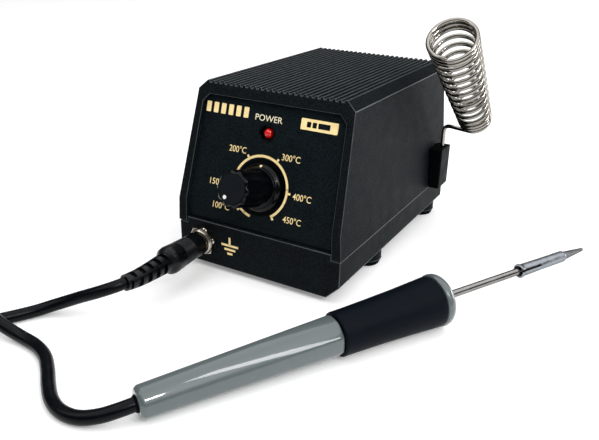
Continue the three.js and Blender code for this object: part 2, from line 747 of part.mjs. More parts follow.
addTo(cord, 'cord_lead_plug', 'cord', swept(LEAD_A, CORD_RADIUS, CORD_SIDES, 18));
addTo(cord, 'cord_lead_iron', 'cord', swept(LEAD_B, CORD_RADIUS, CORD_SIDES, 36));
addTo(cord, 'cord_coil', 'cord', cordCoil()).position.set(...COIL_CENTRE, 0);
const tie = addTo(cord, 'cord_tie', 'rubber', cordTie());
tie.position.set(...COIL_CENTRE, 0);
tie.rotation.z = Math.PI;

// ======================================================================================
// Soldering iron: its own frame runs along y from the butt to the tip
// ======================================================================================

const iron = new THREE.Group();
iron.position.set(...IRON_BUTT);
iron.quaternion.setFromUnitVectors(new THREE.Vector3(0, 1, 0), IRON_DIRECTION);
station.add(iron);

// Eight-sided section with eased corners: the flats lie a little inside the corners.
function easedOctagon(radius) {
  const points = [];
  for (let i = 0; i < 16; i += 1) {
    const angle = ((i + 0.5) / 16) * 2 * Math.PI;
    points.push([radius * Math.cos(angle), radius * Math.sin(angle)]);
  }
  return points.map(([x, z], i) => {
    const ease = Math.floor((i + 1) / 2) % 2 === 0 ? 1 : 0.975;
    return [x * ease, z * ease];
  });
}

function loftY(sections) {
  const positions = [];
  const index = [];
  const count = sections[0].points.length;
  sections.forEach(({ y, points }) => points.forEach(([x, z]) => positions.push(x, y, z)));
  for (let s = 0; s < sections.length - 1; s += 1) {
    for (let i = 0; i < count; i += 1) {
      const a = s * count + i;
      const b = s * count + ((i + 1) % count);
      index.push(a, a + count, b, b, a + count, b + count);
    }
  }
  const last = (sections.length - 1) * count;
  for (let i = 1; i < count - 1; i += 1) {
    index.push(0, i, i + 1, last, last + i + 1, last + i);
  }
  const geometry = new THREE.BufferGeometry();
  geometry.setAttribute('position', new THREE.Float32BufferAttribute(positions, 3));
  geometry.setIndex(index);
  return geometry;
}

function ironHandle() {
  const grow = (y) => HANDLE_BUTT_RADIUS + (HANDLE_FRONT_RADIUS - HANDLE_BUTT_RADIUS) * (y / GRIP_START);
  const stations = [
    [0, HANDLE_BUTT_RADIUS - 2.2], [0.6, HANDLE_BUTT_RADIUS - 1.1], [1.8, HANDLE_BUTT_RADIUS - 0.3],
    [3.5, HANDLE_BUTT_RADIUS], [30, grow(30)], [60, grow(60)], [GRIP_START - GAP, HANDLE_FRONT_RADIUS],
    [GRIP_START - GAP + 0.01, 7], [GRIP_END - 3, 7],
  ];
  const body = loftY(stations.map(([y, radius]) => ({ y, points: easedOctagon(radius) })));
  return carve(body, [barY(3.2, -1, 8), barY(4.8, 6, GRIP_END)]);
}

function ironBush() {
  return turnedLoop([
    [2.2, 7.6], [2.2, -0.6], [3.9, -0.6], [3.9, -GAP], [2.9, -GAP], [2.9, 6.3], [4.4, 6.7], [4.4, 7.6],
  ], 20);
}

function ironGrip() {
  const bore = 7.4;
  return turnedLoop([
    [bore, GRIP_START], [9.0, GRIP_START], [9.55, GRIP_START + 0.8], [9.6, GRIP_START + 3],
    [9.5, GRIP_START + 8], [9.9, GRIP_START + 22], [10.7, GRIP_START + 38], [11.7, GRIP_END - 3],
    [11.7, GRIP_END - GAP], [bore, GRIP_END - GAP],
  ], 24);
}

function ironCollar() {
  return turnedLoop([
    [5.0, GRIP_END + 1], [5.0, GRIP_END - 2.4], [5.5, GRIP_END], [11.8, GRIP_END],
    [12.25, GRIP_END + 0.8], [12.25, GRIP_END + 3.2], [11.5, GRIP_END + 4.4], [10.2, GRIP_END + 5.1],
    [8.5, COLLAR_END - 0.4], [2.4, COLLAR_END], [2.4, COLLAR_END - 2.2], [5.0, GRIP_END + 3],
  ], 24);
}

function heaterTube() {
  return turnedLoop([
    [1.35, GRIP_END - 30], [4.4, GRIP_END - 30], [4.4, GRIP_END - 28], [TUBE_RADIUS, GRIP_END - 27],
    [TUBE_RADIUS, TUBE_END], [1.35, TUBE_END],
  ], 16);
}

function ironTip() {
  const bore = TUBE_RADIUS + 0.25;
  const body = turned([
    [0, TIP_START], [TIP_RADIUS + 0.45, TIP_START], [TIP_RADIUS + 0.45, TIP_START + 0.8],
    [TIP_RADIUS, TIP_START + 2.4], [TIP_RADIUS, TIP_SHOULDER - 0.6], [TIP_RADIUS - 0.4, TIP_SHOULDER],
    [1.9, TIP_SHOULDER + 1], [0.75, TIP_END - 1.6], [0.35, TIP_END - 0.3], [0, TIP_END],
  ], 20);
  const slot = block([-4, 4], [TIP_START - 1, TIP_START + 12], [-0.55, 0.55]);
  return carve(body, [barY(bore, TIP_START - 1, TUBE_END + GAP, 0, 0, 16), slot]);
}

addTo(iron, 'iron_handle', 'grey', ironHandle());
addTo(iron, 'iron_bush', 'rubber', ironBush());
addTo(iron, 'iron_grip', 'rubber', ironGrip());
addTo(iron, 'iron_collar', 'grey', ironCollar());
addTo(iron, 'heater_tube', 'steel', heaterTube());
addTo(iron, 'heater_element', 'ceramic', barY(1.05, GRIP_END - 40, TUBE_END - 1, 0, 0, 10));
addTo(iron, 'iron_tip', 'steel', ironTip());

// ======================================================================================
// Holder on the right-hand wall
// ======================================================================================

const HOLDER_SCREW_Y = 118.6;
const HOLDER_SCREW_Z = [30, 42];

addTo(station, 'top_cover', 'abs', topCover());

function holderBracket() {
  const [lowZ, highZ] = BRACKET_Z;
  const outline = [
    [sideX(lowZ) + GAP, lowZ], [BRACKET_OUTER_X, lowZ], [BRACKET_OUTER_X, highZ],
    [sideX(highZ) + GAP, highZ],
  ];
  const leg = barZ(WIRE_RADIUS + GAP, LEG_BOTTOM_Z - 0.5, highZ + 2, LEG_X, LEG_Y, 14);
  const pilots = HOLDER_SCREW_Z.map((z) => barX(1.7, 44, BRACKET_OUTER_X - 1.4, HOLDER_SCREW_Y, z));
  return carve(alongY(outline, ...BRACKET_Y), [leg, ...pilots]);
}

function holderScrew() {
  const wall = sideX(HOLDER_SCREW_Z[0], WALL) - 0.9;
  return turned([
    [0, wall - 1.8], [2.8, wall - 1.8], [2.8, wall], [1.4, wall], [1.4, 52], [0, 52],
  ], 12).rotateZ(-Math.PI / 2);
}

// Centres of the wire: up the leg, across the arm, then round the cone to its mouth.
function holderPath() {
  const axis = COIL_MOUTH.clone().sub(COIL_LOW).normalize();
  const across = new THREE.Vector3(-1, 0, 0);
  across.addScaledVector(axis, -across.dot(axis)).normalize();
  const under = new THREE.Vector3().crossVectors(axis, across);
  const length = COIL_MOUTH.distanceTo(COIL_LOW);
  const points = [];
  const perTurn = 14;
  const closeTurns = 2.5;
  const closePitch = 2 * WIRE_RADIUS + 0.45;
  const openPitch = (length - 2 * closeTurns * closePitch) / (HOLDER_TURNS - 2 * closeTurns);
  const total = HOLDER_TURNS * perTurn;
  for (let i = 0; i <= total; i += 1) {
    const turn = i / perTurn;
    const open = Math.min(Math.max(turn - closeTurns, 0), HOLDER_TURNS - 2 * closeTurns);
    const along = open * openPitch + (turn - open) * closePitch;
    const radius = THREE.MathUtils.lerp(COIL_LOW_RADIUS, COIL_MOUTH_RADIUS, along / length);
    const angle = turn * 2 * Math.PI;
    points.push(COIL_LOW.clone()
      .addScaledVector(axis, along)
      .addScaledVector(under, radius * Math.cos(angle))
      .addScaledVector(across, -radius * Math.sin(angle)));
  }
  const start = points[0];
  const armZ = start.z + 0.4;
  const leg = [
    [LEG_X, LEG_Y, LEG_BOTTOM_Z], [LEG_X, LEG_Y, 38], [LEG_X, LEG_Y, 48], [LEG_X, LEG_Y, 57],
    [LEG_X, LEG_Y, armZ - 3.4], [LEG_X + 0.9, LEG_Y - 0.2, armZ - 0.9], [LEG_X + 3.4, LEG_Y - 0.6, armZ],
    [LEG_X + 8, (LEG_Y + start.y) / 2, armZ - 0.1],
  ];
  return [...leg, ...points.map((p) => p.toArray())];
}

function holderWire() {
  return swept(holderPath(), WIRE_RADIUS, 6, HOLDER_TURNS * 12 + 16);
}

addTo(station, 'holder_bracket', 'rubber', holderBracket());
HOLDER_SCREW_Z.forEach((z, i) => {
  addTo(station, `holder_screw_${i + 1}`, 'steel', holderScrew()).position.set(0, HOLDER_SCREW_Y, z);
});
addTo(station, 'holder_wire', 'steel', holderWire());

// ======================================================================================
// Rear panel: mains inlet and rocker switch
// ======================================================================================

const REAR_PANEL_Y = [-(WALL + GAP + 2), -(WALL + GAP)];

function rearPanel() {
  const { x, low, high } = REAR_WINDOW;
  const sheet = block([-x - 3, x + 3], REAR_PANEL_Y, [low - 3, high + 3]);
  return carve(sheet, [
    block([INLET.x - 14.2, INLET.x + 14.2], [-9, 0], [INLET.u - 10.6, INLET.u + 10.6]),
    block([ROCKER.x - 6.9, ROCKER.x + 6.9], [-9, 0], [ROCKER.u - 10.2, ROCKER.u + 10.2]),
  ]);
}

function inletHousing() {
  const face = REAR_PANEL_Y[1] + GAP;
  const flange = block([-15.8, 15.8], [face, face + 1.8], [-12.4, 12.4]);
  const body = block([-13.8, 13.8], [-19, face + 0.5], [-10.2, 10.2]);
  const socket = [
    [-12, -8.3], [12, -8.3], [12, 3.6], [7.4, 8.3], [-7.4, 8.3], [-12, 3.6],
  ];
  const blades = INLET_PINS.map(([x, z]) => block([x - 1.4, x + 1.4], [-22, 0], [z - 2.4, z + 2.4]));
  return carve(flange, [alongY(socket, -16.4, 4), ...blades], [body]);
}

const INLET_PINS = [[-7, -1.6], [7, -1.6], [0, 3.4]];
const INLET_PIN_NAMES = ['line', 'neutral', 'earth'];

function rockerHousing() {
  const face = REAR_PANEL_Y[1] + GAP;
  const flange = block([-7.9, 7.9], [face, face + 1.6], [-11.4, 11.4]);
  const body = block([-6.5, 6.5], [-16, face + 0.5], [-9.8, 9.8]);
  const opening = block([-5.6, 5.6], [-13.4, 4], [-8.6, 8.6]);
  return carve(flange, [opening], [body]);
}

// The rocker turns about x at its own middle; its two faces meet in a shallow valley.
function rockerPaddle() {
  return alongX([[-5.4, -2.6], [-5.4, 2.6], [0.2, 7.4], [2.6, 7.4], [0.9, 0], [2.6, -7.4], [0.2, -7.4]],
    -5.2, 5.2);
}

addTo(rear, 'rear_panel', 'aluminium', rearPanel());
const inlet = new THREE.Group();
inlet.position.set(INLET.x, 0, INLET.u);
rear.add(inlet);
addTo(inlet, 'inlet_housing', 'panel', inletHousing());
INLET_PINS.forEach(([x, z], i) => {
  addTo(inlet, `inlet_pin_${INLET_PIN_NAMES[i]}`, 'nickel',
    block([x - 1, x + 1], [-21, -5], [z - 2, z + 2]));
});
const rockerSwitch = new THREE.Group();
rockerSwitch.position.set(ROCKER.x, 0, ROCKER.u);
rear.add(rockerSwitch);
addTo(rockerSwitch, 'rocker_housing', 'panel', rockerHousing());
const paddle = addTo(rockerSwitch, 'rocker', 'gloss', rockerPaddle());
paddle.position.set(0, -3.4, 0);
paddle.rotation.x = -THREE.MathUtils.degToRad(8);

// ======================================================================================
// Inside: transformer and control board
// ======================================================================================

function boardCorners() {
  const [x0, x1] = BOARD.x;
  const [y0, y1] = BOARD.y;
  return [[x0 + 4, y0 + 4], [x1 - 4, y0 + 4], [x0 + 4, y1 - 4], [x1 - 4, y1 - 4]];
}

function transformerScrews() {
  const reach = CORE.width / 2 + CORE.foot - 4;
  return [[-reach, TRANSFORMER_Y], [reach, TRANSFORMER_Y]];
}

const CORE_LOW_Z = BASE_BOTTOM_Z + WALL + 1.2 + GAP + 1.2 + GAP;

function transformerCore() {
  const { width, height, stack } = CORE;
  const ys = [TRANSFORMER_Y - stack / 2, TRANSFORMER_Y + stack / 2];
  const outer = block([-width / 2, width / 2], ys, [CORE_LOW_Z, CORE_LOW_Z + height]);
  const limb = width / 6;
  const windows = [-1, 1].map((side) => {
    const xs = [side * limb, side * 2 * limb].sort((a, b) => a - b);
    return block(xs, [ys[0] - 1, ys[1] + 1], [CORE_LOW_Z + limb, CORE_LOW_Z + height - limb]);
  });
  return carve(outer, windows);
}

// Square tube round the core's middle limb, standing off it by the running gap.
function limbSleeve(thickness, offset, inset) {
  const { width, height, stack } = CORE;
  const limb = width / 6;
  const zs = [CORE_LOW_Z + limb + inset, CORE_LOW_Z + height - limb - inset];
  const inner = [limb + offset, stack / 2 + offset];
  const outer = [inner[0] + thickness, inner[1] + thickness];
  const tube = block([-outer[0], outer[0]], [TRANSFORMER_Y - outer[1], TRANSFORMER_Y + outer[1]], zs);
  const hole = block([-inner[0], inner[0]], [TRANSFORMER_Y - inner[1], TRANSFORMER_Y + inner[1]],
    [zs[0] - 1, zs[1] + 1]);
  return carve(tube, [hole]);
}

function transformerStrap() {
  const { width, height, foot: reach, stack } = CORE;
  const out = width / 2 + GAP;
  const footLow = CORE_LOW_Z - GAP - 1.2;
  const outline = [
    [-out - reach, footLow], [-out, footLow], [-out, CORE_LOW_Z + height + GAP],
    [out, CORE_LOW_Z + height + GAP], [out, footLow], [out + reach, footLow],
    [out + reach, footLow + 1.2], [out + 1.2, footLow + 1.2],
    [out + 1.2, CORE_LOW_Z + height + GAP + 1.2], [-out - 1.2, CORE_LOW_Z + height + GAP + 1.2],
    [-out - 1.2, footLow + 1.2], [-out - reach, footLow + 1.2],
  ];
  const strap = alongY(outline, TRANSFORMER_Y - stack / 3, TRANSFORMER_Y + stack / 3);
  return carve(strap, transformerScrews().map(([x, y]) => barZ(1.9, 0, 14, x, y, 12)));
}

function transformerScrew() {
  const seat = CORE_LOW_Z;
  return turned([
    [0, 4.6], [1.3, 4.6], [1.3, seat], [2.9, seat], [2.9, seat + 1.8], [0, seat + 1.8],
  ], 12).rotateX(Math.PI / 2);
}

function controlBoard() {
  return carve(block(BOARD.x, BOARD.y, [BOARD.z, BOARD.z + BOARD.thickness]),
    boardCorners().map(([x, y]) => barZ(1.6, 0, 30, x, y, 10)));
}

function heatsink() {
  const base = BOARD.z + BOARD.thickness + GAP;
  const fins = [];
  for (let i = 0; i < 5; i += 1) {
    fins.push(block([8 + i * 4.4, 9.4 + i * 4.4], [49, 57], [base, base + 22]));
  }
  return carve(block([8, 27], [47, 49.4], [base, base + 22]), [], fins);
}

addTo(station, 'transformer_core', 'iron', transformerCore());
addTo(station, 'transformer_bobbin', 'panel', limbSleeve(1.4, GAP, GAP));
addTo(station, 'transformer_winding', 'copper', limbSleeve(6.8, GAP + 1.4 + GAP, 1.8));
addTo(station, 'transformer_strap', 'steel', transformerStrap());
transformerScrews().forEach(([x, y], i) => {
  addTo(station, `transformer_screw_${i + 1}`, 'steel', transformerScrew()).position.set(x, y, 0);
});
addTo(station, 'control_board', 'board', controlBoard());
addTo(station, 'board_heatsink', 'aluminium', heatsink());
const boardTop = BOARD.z + BOARD.thickness + GAP;
addTo(station, 'board_triac', 'panel', block([12, 22], [42, 46.6], [boardTop, boardTop + 15]));
addTo(station, 'board_capacitor', 'gloss', barZ(6.5, boardTop, boardTop + 21, -8, 38, 20));

// ======================================================================================
// Whole object, its origin under the middle of the station's footprint
// ======================================================================================

const group = new THREE.Group();
group.add(station, cord);
const footprint = new THREE.Box3().setFromObject(station, true);
const middle = footprint.getCenter(new THREE.Vector3());
group.position.set(-middle.x, -middle.y, 0);

export default group;
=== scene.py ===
"""Looks of the soldering station: a ribbed black case with a dial, its plug-in iron and wire holder.

Lengths below are millimetres in the case's own frame (x across from the middle, y back from the
front, z up from the table) unless a name says otherwise; each local frame's matrix turns them
into metres in the row frame.
"""
import json
import math

import bmesh
import bpy
from mathutils import Matrix, Quaternion, Vector


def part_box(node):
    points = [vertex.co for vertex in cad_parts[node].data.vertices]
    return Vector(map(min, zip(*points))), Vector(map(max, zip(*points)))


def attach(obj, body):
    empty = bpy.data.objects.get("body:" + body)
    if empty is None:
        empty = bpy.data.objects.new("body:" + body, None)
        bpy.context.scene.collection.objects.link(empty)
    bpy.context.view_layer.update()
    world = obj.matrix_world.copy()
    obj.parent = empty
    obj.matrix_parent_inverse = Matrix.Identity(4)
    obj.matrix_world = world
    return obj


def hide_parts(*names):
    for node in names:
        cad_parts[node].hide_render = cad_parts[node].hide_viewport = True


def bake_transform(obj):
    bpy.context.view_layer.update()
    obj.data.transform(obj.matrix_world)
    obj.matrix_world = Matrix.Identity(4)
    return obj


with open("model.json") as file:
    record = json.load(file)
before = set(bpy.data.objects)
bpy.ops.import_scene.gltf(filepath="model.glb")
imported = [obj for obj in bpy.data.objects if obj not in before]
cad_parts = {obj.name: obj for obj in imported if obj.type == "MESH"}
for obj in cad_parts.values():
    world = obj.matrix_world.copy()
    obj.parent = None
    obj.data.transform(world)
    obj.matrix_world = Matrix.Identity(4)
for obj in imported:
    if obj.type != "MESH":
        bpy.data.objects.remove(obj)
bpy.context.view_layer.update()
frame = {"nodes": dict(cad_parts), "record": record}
NODES = frame["nodes"]

# ----------------------------
# Driving dimensions, millimetres
# ----------------------------
BASE_FRONT_Y = 0.3
BEND_Z = 36.4  # where the upper front starts to lean back
TILT = math.atan2(17.4, 58.8)  # lean of the upper front
PANEL_DEPTH = 2.3  # the dial panel lies this far behind its frame
KNOB_U = 14.0  # heights on the leaning front, from the bend, are called u
KNOB_FACE = PANEL_DEPTH - 26.0
LAMP_X, LAMP_U = -1.7, 40.4
LAMP_RADIUS = 2.5
LAMP_SINK = 2.4  # the lamp's widest round lies this far behind the panel
LAMP_HOLE_RADIUS = 4.5
PLATE_X, PLATE_U = 25.7, 47.9
JACK_X, JACK_Z = -31.5, 16.0
NUT_FRONT_Y = -2.6
SLEEVE_FRONT_Y = -4.4
PLUG_BACK_Y = -6.0
PLUG_END_Y = -31.0
BAND_START_Y, BAND_END_Y = -13.3, -21.5
PLUG_RADIUS = 7.2
CORD_RADIUS = 2.85
IRON_BUTT = (20.08, -108.27, 6.92)
IRON_DIRECTION = Vector((0.5087, 0.8601, 0.0383)).normalized()
GRIP_START, GRIP_END, COLLAR_END = 84.7, 136.4, 142.2
TUBE_END, TUBE_RADIUS, TUBE_BORE_RADIUS = 212.0, 1.75, 1.35
TIP_START, TIP_SHOULDER, TIP_END, TIP_RADIUS = 190.0, 221.0, 235.6, 2.85
WIRE_RADIUS = 1.15
HOLDER_LOW, HOLDER_MOUTH = Vector((67.9, 126, 66.6)), Vector((65.5, 74, 117.9))
HOLDER_LOW_RADIUS, HOLDER_MOUTH_RADIUS, HOLDER_TURNS = 8.3, 11.9, 15
LEG_X, LEG_Y, LEG_BOTTOM_Z = 51.2, 123.2, 29.0

# ----------------------------
# Frames
# ----------------------------
MM = 0.001
base_low, base_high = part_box("base_tray")
CASE = Matrix.Translation(
    ((base_low.x + base_high.x) / 2, base_low.y - BASE_FRONT_Y * MM, 0)
) @ Matrix.Scale(MM, 4)


def shifted(parent, x, y, z, turn=None):
    """A frame at x, y, z of its parent, turned by a rotation matrix."""
    return parent @ Matrix.Translation((x, y, z)) @ (turn or Matrix.Identity(4))


BEZEL = shifted(CASE, 0, 0, BEND_Z, Matrix.Rotation(-TILT, 4, "X"))
CONTROL = shifted(BEZEL, 0, 0, KNOB_U)
LAMP = shifted(BEZEL, LAMP_X, 0, LAMP_U)
JACK = shifted(CASE, JACK_X, 0, JACK_Z)
IRON_TURN = Vector((0, 1, 0)).rotation_difference(IRON_DIRECTION).to_matrix().to_4x4()
IRON = shifted(CASE, *IRON_BUTT, IRON_TURN)

# ----------------------------
# Camera: to the right of the front and a little above
# ----------------------------
CAMERA_PLACE = (165.739, -248.374, 166.126)
CAMERA_AZIMUTH = math.radians(29.52)
CAMERA_ELEVATION = math.radians(23.78)
CAMERA_ROLL = math.radians(1.16)
CAMERA_LENS = 40.163
SENSOR_WIDTH = 36


def make_camera():
    """Places the camera by its azimuth, elevation and roll."""
    data = bpy.data.cameras.new("camera")
    data.sensor_width = SENSOR_WIDTH
    data.lens = CAMERA_LENS
    data.clip_start, data.clip_end = 0.01, 20
    camera = bpy.data.objects.new("camera", data)
    bpy.context.scene.collection.objects.link(camera)
    flat = math.cos(CAMERA_ELEVATION)
    back = Vector((math.sin(CAMERA_AZIMUTH) * flat, -math.cos(CAMERA_AZIMUTH) * flat,
                   math.sin(CAMERA_ELEVATION)))
    across = Vector((math.cos(CAMERA_AZIMUTH), math.sin(CAMERA_AZIMUTH), 0))
    up = back.cross(across)
    rolled = across * math.cos(CAMERA_ROLL) + up * math.sin(CAMERA_ROLL)
    upright = up * math.cos(CAMERA_ROLL) - across * math.sin(CAMERA_ROLL)
    turn = Matrix((rolled, upright, back)).transposed().to_4x4()
    camera.matrix_world = Matrix.Translation(CASE @ Vector(CAMERA_PLACE)) @ turn
    bpy.context.scene.camera = camera


make_camera()

# ----------------------------
# Mesh helpers
# ----------------------------
MERGE_GAP = 1e-7  # metres
CURVE_STEPS = 12  # fine steps between two points of a path


def fillet(points, radius, closed=False, steps=3):
    """Eases each corner of an outline into a short curve."""
    eased = []
    count = len(points)
    for i, point in enumerate(points):
        if not closed and i in (0, count - 1):
            eased.append(tuple(point))
            continue
        corner = Vector(point)
        before = Vector(points[i - 1]) - corner
        after = Vector(points[(i + 1) % count]) - corner
        cut = min(radius, before.length * 0.45, after.length * 0.45)
        start = corner + before.normalized() * cut
        end = corner + after.normalized() * cut
        for step in range(steps + 1):
            t = step / steps
            eased.append(tuple(start * (1 - t) ** 2 + corner * 2 * t * (1 - t) + end * t * t))
    return eased


def piece(name, verts, faces, matrix, body, slot, material, replaces=(), sharp=35):
    """A mesh piece whose vertices are given in a local frame, riding on a body."""
    mesh = bpy.data.meshes.new(name)
    mesh.from_pydata([matrix @ Vector(v) for v in verts], [], faces)
    tool = bmesh.new()
    tool.from_mesh(mesh)
    bmesh.ops.remove_doubles(tool, verts=tool.verts, dist=MERGE_GAP)
    bmesh.ops.recalc_face_normals(tool, faces=tool.faces)
    tool.to_mesh(mesh)
    tool.free()
    mesh.polygons.foreach_set("use_smooth", [True] * len(mesh.polygons))
    mesh.set_sharp_from_angle(angle=math.radians(sharp))
    mesh.materials.append(material)
    obj = bpy.data.objects.new(name, mesh)
    bpy.context.scene.collection.objects.link(obj)
    if body:
        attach(obj, body)
    if replaces:
        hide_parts(*replaces)
    return obj


def lathe(profile, sides=64, closed=False, shape=None):
    """Vertices and faces of a profile of (radius, y) turned about y.

    shape(angle, radius, y) may change the radius around the turn."""
    verts, faces, rings = [], [], []
    for radius, y in profile:
        if radius < 1e-6:
            rings.append([len(verts)])
            verts.append((0, y, 0))
            continue
        ring = []
        for i in range(sides):
            angle = 2 * math.pi * i / sides
            r = shape(angle, radius, y) if shape else radius
            ring.append(len(verts))
            verts.append((r * math.cos(angle), y, r * math.sin(angle)))
        rings.append(ring)
    pairs = list(zip(rings, rings[1:]))
    if closed:
        pairs.append((rings[-1], rings[0]))
    for first, second in pairs:
        for i in range(sides):
            j = (i + 1) % sides
            if len(first) == 1 and len(second) == 1:
                continue
            if len(first) == 1:
                faces.append((first[0], second[j], second[i]))
            elif len(second) == 1:
                faces.append((first[i], first[j], second[0]))
            else:
                faces.append((first[i], first[j], second[j], second[i]))
    return verts, faces


def smooth_path(points, step):
    """Even points along a Catmull-Rom curve through the given ones."""
    knots = [Vector(p) for p in points]
    fine = []
    for i in range(len(knots) - 1):
        p0, p1 = knots[max(i - 1, 0)], knots[i]
        p2, p3 = knots[i + 1], knots[min(i + 2, len(knots) - 1)]
        for k in range(CURVE_STEPS):
            t = k / CURVE_STEPS
            fine.append(0.5 * (2 * p1 + (p2 - p0) * t + (2 * p0 - 5 * p1 + 4 * p2 - p3) * t * t
                               + (3 * p1 - p0 - 3 * p2 + p3) * t ** 3))
    fine.append(knots[-1])
    lengths = [0]
    for a, b in zip(fine, fine[1:]):
        lengths.append(lengths[-1] + (b - a).length)
    count = max(2, round(lengths[-1] / step))
    even, i = [], 0
    for k in range(count + 1):
        target = lengths[-1] * k / count
        while i < len(lengths) - 2 and lengths[i + 1] < target:
            i += 1
        span = max(lengths[i + 1] - lengths[i], 1e-9)
        even.append(fine[i].lerp(fine[i + 1], min(max((target - lengths[i]) / span, 0), 1)))
    return even


def tube(path, radius, sides=16, section=None):
    """Vertices and faces of a closed tube about a path.

    radius is a number or a function of the share of the path; section(angle, share) scales it."""
    verts, faces = [], []
    tangents = []
    for i in range(len(path)):
        ahead, behind = path[min(i + 1, len(path) - 1)], path[max(i - 1, 0)]
        tangents.append((ahead - behind).normalized())
    normal = tangents[0].orthogonal().normalized()
    for i, (centre, tangent) in enumerate(zip(path, tangents)):
        normal = (normal - tangent * normal.dot(tangent)).normalized()
        other = tangent.cross(normal)
        share = i / (len(path) - 1)
        size = radius(share) if callable(radius) else radius
        for side in range(sides):
            angle = 2 * math.pi * side / sides
            grow = section(angle, share) if section else 1
            verts.append(centre + (normal * math.cos(angle) + other * math.sin(angle)) * size * grow)
    for i in range(len(path) - 1):
        for side in range(sides):
            a, b = i * sides + side, i * sides + (side + 1) % sides
            faces.append((a, b, b + sides, a + sides))
    last = (len(path) - 1) * sides
    faces.append(tuple(range(sides)))
    faces.append(tuple(last + side for side in reversed(range(sides))))
    return verts, faces


def prism(outline, low, high):
    """Vertices and faces of an outline of (x, z) points running along y."""
    count = len(outline)
    verts = [(x, low, z) for x, z in outline] + [(x, high, z) for x, z in outline]
    faces = [tuple(range(count)), tuple(count + i for i in reversed(range(count)))]
    for i in range(count):
        j = (i + 1) % count
        faces.append((i, j, j + count, i + count))
    return verts, faces


def merged(*parts):
    """Several (vertices, faces) pairs as one."""
    verts, faces = [], []
    for part_verts, part_faces in parts:
        shift = len(verts)
        verts += list(part_verts)
        faces += [tuple(i + shift for i in face) for face in part_faces]
    return verts, faces


# ----------------------------
# Materials
# ----------------------------
SCRATCH_MM = 2.2


def noise(nodes, links, source, size_mm, detail=3, stretch=None):
    """A noise texture whose grains are about size_mm across."""
    texture = nodes.new("ShaderNodeTexNoise")
    texture.inputs["Scale"].default_value = 1 / (size_mm * MM)
    texture.inputs["Detail"].default_value = detail
    if stretch:
        mapping = nodes.new("ShaderNodeMapping")
        mapping.inputs["Scale"].default_value = stretch
        links.new(source, mapping.inputs["Vector"])
        source = mapping.outputs["Vector"]
    links.new(source, texture.inputs["Vector"])
    return texture.outputs["Fac"]


def ranged(nodes, links, value, low, high, from_low=0.3, from_high=0.7):
    """A noise value stretched from its usual span to low and high."""
    node = nodes.new("ShaderNodeMapRange")
    node.inputs["From Min"].default_value = from_low
    node.inputs["From Max"].default_value = from_high
    node.inputs["To Min"].default_value = low
    node.inputs["To Max"].default_value = high
    links.new(value, node.inputs["Value"])
    return node.outputs["Result"]


def surface(name, color, rough, metal=0.0, spread=0.06, shade=0.12, mottle_mm=9.0, grain_mm=0.4,
            grain_depth=0.02, grain_bump=0.5, stretch=None, coat=0.0, coat_rough=0.05, ior=1.5,
            speckle=0.0, scratch=0.0, subsurface=0.0, specular=0.5, edge=1.0):
    """A plastic, rubber or metal finish: mottled colour, uneven roughness and a fine relief.

    edge below 1 dims a metal's reflection where it is seen at a slant."""
    material = bpy.data.materials.new(name)
    material.use_nodes = True
    nodes, links = material.node_tree.nodes, material.node_tree.links
    shader = nodes["Principled BSDF"]
    shader.inputs["Metallic"].default_value = metal
    shader.inputs["IOR"].default_value = ior
    shader.inputs["Specular IOR Level"].default_value = specular
    shader.inputs["Specular Tint"].default_value = (edge, edge, edge, 1)
    shader.inputs["Coat Weight"].default_value = coat
    shader.inputs["Coat Roughness"].default_value = coat_rough
    if subsurface:
        shader.inputs["Subsurface Weight"].default_value = subsurface
        shader.inputs["Subsurface Scale"].default_value = 0.002
    place = nodes.new("ShaderNodeTexCoord").outputs["Object"]
    mottle = noise(nodes, links, place, mottle_mm, detail=4)
    grain = noise(nodes, links, place, grain_mm, detail=2, stretch=stretch)
    ramp = nodes.new("ShaderNodeMix")
    ramp.data_type = "RGBA"
    ramp.inputs["A"].default_value = (*[c * (1 - shade) for c in color], 1)
    ramp.inputs["B"].default_value = (*[min(c * (1 + shade), 1) for c in color], 1)
    tint = ranged(nodes, links, mottle, 0, 1)
    if speckle:
        spots = ranged(nodes, links, grain, -speckle, speckle, 0.35, 0.65)
        sum_node = nodes.new("ShaderNodeMath")
        sum_node.operation = "ADD"
        links.new(tint, sum_node.inputs[0])
        links.new(spots, sum_node.inputs[1])
        tint = sum_node.outputs["Value"]
    ramp.clamp_factor = False
    links.new(tint, ramp.inputs["Factor"])
    links.new(ramp.outputs["Result"], shader.inputs["Base Color"])
    uneven = ranged(nodes, links, mottle, max(rough - spread, 0.02), min(rough + spread, 1))
    if scratch:
        marks = noise(nodes, links, place, SCRATCH_MM, detail=2, stretch=(0.12, 1.0, 1.0))
        worn = ranged(nodes, links, marks, 0, scratch, 0.62, 0.7)
        total = nodes.new("ShaderNodeMath")
        total.operation = "ADD"
        links.new(uneven, total.inputs[0])
        links.new(worn, total.inputs[1])
        uneven = total.outputs["Value"]
    links.new(uneven, shader.inputs["Roughness"])
    bump = nodes.new("ShaderNodeBump")
    bump.inputs["Strength"].default_value = grain_bump
    bump.inputs["Distance"].default_value = grain_depth * MM
    links.new(grain, bump.inputs["Height"])
    links.new(bump.outputs["Normal"], shader.inputs["Normal"])
    return material


